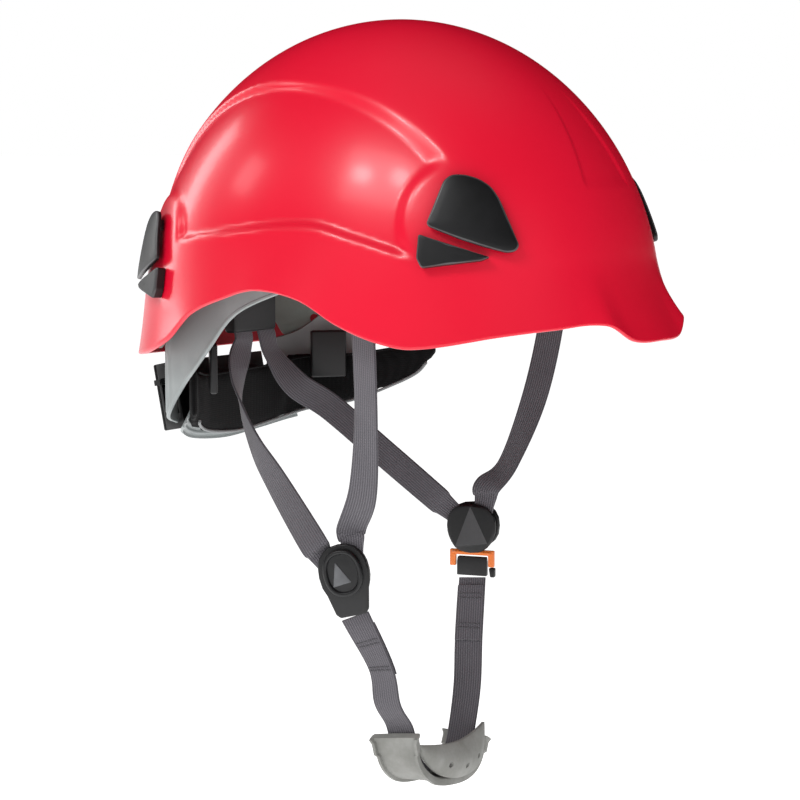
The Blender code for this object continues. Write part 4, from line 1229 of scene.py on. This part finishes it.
def make_nape_trim():
    """Grey piping round the nape pad's face, and the ridged strap that backs its lower edge."""
    middle, inward, halves = nape_lines()
    for name, sign, radius, material in (("nape_piping_low", -1, 0.8 * MM, PIPING),
                                         ("nape_piping_high", 1, 0.6 * MM, PAD_FABRIC)):
        seam = [point + way * 6 * MM + Vector((0, 0, sign * half * 0.82))
                for point, way, half in zip(middle, inward, halves)]
        worn_by(tube(name, seam[7:-5], radius, material, 10), "nape_frame", "foam")
    outline = [(-5 * MM, -0.7 * MM)]
    for k in range(25):
        across = (-5 + 10 * k / 24) * MM
        outline.append((across, 0.35 * MM + 0.45 * MM * math.cos(2 * math.pi * 3.0 * k / 24)))
    outline.append((5 * MM, -0.7 * MM))
    strap = [point - Vector((0, 0, half * 0.80)) - way * 1.2 * MM
             for point, way, half in zip(middle, inward, halves)][4:60]
    ways = [Vector((0, 0, 1)) + way * 0.5 for way in inward][4:60]
    ridged = sweep("nape_lower_strap", strap, ways, lambda share: outline, BAND_GREY, 60)
    worn_by(ridged, "nape_frame", "nape")


def soft_pad(node, name, body, voxel, drawn_in, cap):
    """A pad swollen by cloth simulation from a node's shape."""
    pad = copy_of(node, name, PAD_FABRIC)
    modified(pad, "REMESH", mode="VOXEL", voxel_size=voxel)
    for vertex in pad.data.vertices:
        vertex.co -= vertex.normal * drawn_in
    start = [vertex.co.copy() for vertex in pad.data.vertices]
    only(pad)
    cloth = pad.modifiers.new("Cloth", "CLOTH")
    cloth.settings.use_pressure = True
    cloth.settings.uniform_pressure_force = 4
    cloth.settings.effector_weights.gravity = 0
    cloth.settings.mass = 0.2
    cloth.settings.quality = 5
    for number in range(1, 21):
        bpy.context.scene.frame_set(number)
    bpy.ops.object.modifier_apply(modifier=cloth.name)
    bpy.context.scene.frame_set(1)
    for vertex, before in zip(pad.data.vertices, start):
        moved = vertex.co - before
        if moved.length > cap:
            vertex.co = before + moved.normalized() * cap
    modified(pad, "SUBSURF", levels=1, render_levels=1)
    only(pad)
    bpy.ops.object.shade_smooth()
    return worn_by(pad, body, "foam", node)


def make_pads():
    """Brow, nape and crown pads."""
    soft_pad("brow_pad", "brow_cushion", "helmet", 3.4 * MM, 0.7 * MM, 1.2 * MM)
    soft_pad("nape_pad", "nape_cushion", "nape_frame", 3.0 * MM, 0.6 * MM, 1.2 * MM)
    crown = turned("crown_cushion", (0, 0, 0), (0, 0, 1),
                   ((10 * MM, 0.15 * MM), (14 * MM, 0.3 * MM), (16.5 * MM, 0.8 * MM), (17.8 * MM, 1.6 * MM),
                    (17.8 * MM, 2.4 * MM), (16.5 * MM, 3.2 * MM), (14 * MM, 3.7 * MM), (10 * MM, 3.9 * MM)), 56,
                   PAD_FABRIC, sharp_deg=None)
    worn_by(crown, "helmet", "foam", "crown_pad")


def make_cradle():
    """Crossed webbing over the crown, and its plugs."""
    for level, (name, sign) in enumerate((("cradle_band_a", 1), ("cradle_band_b", -1))):
        top = 6 + 2 * level
        points = [(-59, -57, -48), (-50, -47, -24), (-30, -28, -3), (-13, -12, top), (0, 0, top),
                  (13, 12, top), (30, 29, -3), (50, 50, -24), (59, 62, -48)]
        points = [(x * sign, y, z) for x, y, z in points]
        side = Vector((-1, sign, 0)).normalized()
        web(name + "_webbing", points, [side] * len(points), "helmet", "webbing", [name], 10, CRADLE_WIDTH,
            1.2 * MM)
    for end in ("front", "rear"):
        for hand, _ in SIDES:
            rounded(f"cradle_tab_{end}_{hand}", "helmet", "clip", CLIP_BLACK, 0.4 * MM)


def make_fittings():
    """Hangers, anchors and the block of the rear straps."""
    for hand, side in SIDES:
        rounded(f"front_hanger_{hand}", "helmet", "clip", HANGER_GREY, 0.35 * MM)
        rounded(f"front_anchor_{hand}", "helmet", "clip", CLIP_BLACK, 0.5 * MM)
        make_rear_hanger(hand, side)
    rounded("rear_strap_block", "helmet", "clip", CLIP_BLACK, 1.0 * MM)


HANGER_AZIMUTH = 139
HANGER_Z = -108 * MM
HANGER_OUTLINE = ((33, 13), (31, -4), (19.5, -23.5), (-8.5, -16), (-14, 13))


def make_rear_hanger(hand, side):
    """Grey plate inside the shell's rear, cut away at an angle, with one round hole."""
    point, normal = shell_outer(HANGER_AZIMUTH, HANGER_Z)
    out = Vector((normal.x, normal.y, 0)).normalized()
    place = point - normal * (WALL + 7 * MM)
    back = Vector((-out.y, out.x, 0))

    def spot(along, up, lift):
        there = place + back * along * MM + out * lift * MM + Vector((0, 0, up * MM))
        return Vector((there.x * side, there.y, there.z))

    outline = round_outline(HANGER_OUTLINE, 2.0, 2.0)
    mesh = bmesh.new()
    inner, outer = [[mesh.verts.new(spot(along, up, lift)) for along, up in outline] for lift in (-1.0, 1.0)]
    hoop(mesh, inner, outer)
    mesh.faces.new(inner)
    mesh.faces.new(outer)
    plate = piece_of(f"rear_hanger_{hand}_plate", mesh, HANGER_GREY)
    drilled(plate, spot(2, -14, 0), Vector((out.x * side, out.y, 0)), 2.4 * MM, 12 * MM)
    bevelled(plate, 0.4 * MM, 2, 40)
    smooth_under(plate, 35)
    worn_by(plate, "helmet", "band", f"rear_hanger_{hand}")


# ---------------------------------------------------------------- stage, light and camera

FLOOR_SIZE = 80
FLOOR_Z = -0.62
CAMERA_TARGET = Vector((0, 0, -0.152))
CAMERA_FORWARD = Vector((0.8146, 0.5704, -0.1045)).normalized()
CAMERA_DISTANCE = 1.3
SURROUND_LIGHT = 0.32
SURROUND_SEEN = 1.0


def make_stage():
    """Pale floor well under the hanging helmet."""
    only_nothing()
    bpy.ops.mesh.primitive_plane_add(size=FLOOR_SIZE, location=(0, 0, FLOOR_Z))
    floor = bpy.context.object
    floor.name = "floor"
    finish = Finish("floor_pale", Roughness=0.9, Specular_IOR_Level=0.1, Emission_Color=(1, 1, 1, 1),
                    Emission_Strength=0.8)
    finish.colour(finish.mix(finish.noise(3, 2), (0.90, 0.90, 0.90), (0.93, 0.93, 0.93)))
    floor.data.materials.append(finish.material)


def softbox(name, place, aim, size, watts, shines=True):
    """Rectangular soft light. One that doesn't shine leaves no highlight of its own."""
    data = bpy.data.lights.new(name, "AREA")
    data.shape = "RECTANGLE"
    data.size, data.size_y = size
    data.energy = watts
    lamp = bpy.data.objects.new(name, data)
    lamp.location = place
    lamp.rotation_euler = (Vector(aim) - Vector(place)).to_track_quat("-Z", "Y").to_euler()
    lamp.visible_glossy = shines
    bpy.context.scene.collection.objects.link(lamp)


def make_light():
    """Soft studio light: a pale surround, a bank of keys over the wearer's right side and weak fills."""
    world = bpy.data.worlds.new("studio")
    bpy.context.scene.world = world
    world.use_nodes = True
    world.cycles_visibility.glossy = False
    nodes, links = world.node_tree.nodes, world.node_tree.links
    path = nodes.new("ShaderNodeLightPath")
    blend = nodes.new("ShaderNodeMix")
    blend.data_type = "FLOAT"
    blend.inputs[2].default_value = SURROUND_LIGHT
    blend.inputs[3].default_value = SURROUND_SEEN
    links.new(path.outputs["Is Camera Ray"], blend.inputs[0])
    links.new(blend.outputs[0], nodes["Background"].inputs["Strength"])
    nodes["Background"].inputs["Color"].default_value = (1, 1, 1, 1)
    crown = (0, 0, -0.06)
    softbox("key_wide", (-1.45, 0.13, 1.12), crown, (1.0, 0.62), 8.5)
    softbox("key_spot_rear", (-1.40, 0.40, 1.09), crown, (0.20, 0.16), 3.4)
    softbox("key_spot_front", (-1.41, -0.08, 1.15), crown, (0.20, 0.16), 3.4)
    softbox("strip_rear", (0.01, 1.80, 0.42), crown, (0.34, 1.0), 7)
    softbox("spot_rear_side", (-0.83, 1.45, 0.79), crown, (0.30, 0.30), 1.6)
    softbox("fill_front", (-0.9, -1.7, 0.5), crown, (1.6, 1.2), 4.5, False)
    softbox("fill_low", (-1.3, -0.6, -0.45), (0, 0, -0.2), (1.2, 0.5), 3, False)
    softbox("top", (0.2, 0.2, 1.7), crown, (1.6, 1.6), 8, False)
    bpy.context.scene.view_settings.view_transform = "Standard"


def make_camera():
    """Camera before the wearer's right temple, a little above the rim."""
    data = bpy.data.cameras.new("camera")
    data.lens = 112.3
    data.sensor_width = 36
    data.shift_x = 0.00125
    data.shift_y = -0.0104
    camera = bpy.data.objects.new("camera", data)
    camera.location = CAMERA_TARGET - CAMERA_FORWARD * CAMERA_DISTANCE
    camera.rotation_euler = CAMERA_FORWARD.to_track_quat("-Z", "Y").to_euler()
    bpy.context.scene.collection.objects.link(camera)
    bpy.context.scene.camera = camera


make_camera()
make_light()
make_stage()
make_shell()
make_clips()
make_cradle()
make_headband()
make_arms()
make_nape_unit()
make_nape_trim()
make_fittings()
make_straps()
make_chin_strap()
make_chin_pad()
make_dividers()
make_buckle()
make_pads()
only_nothing()
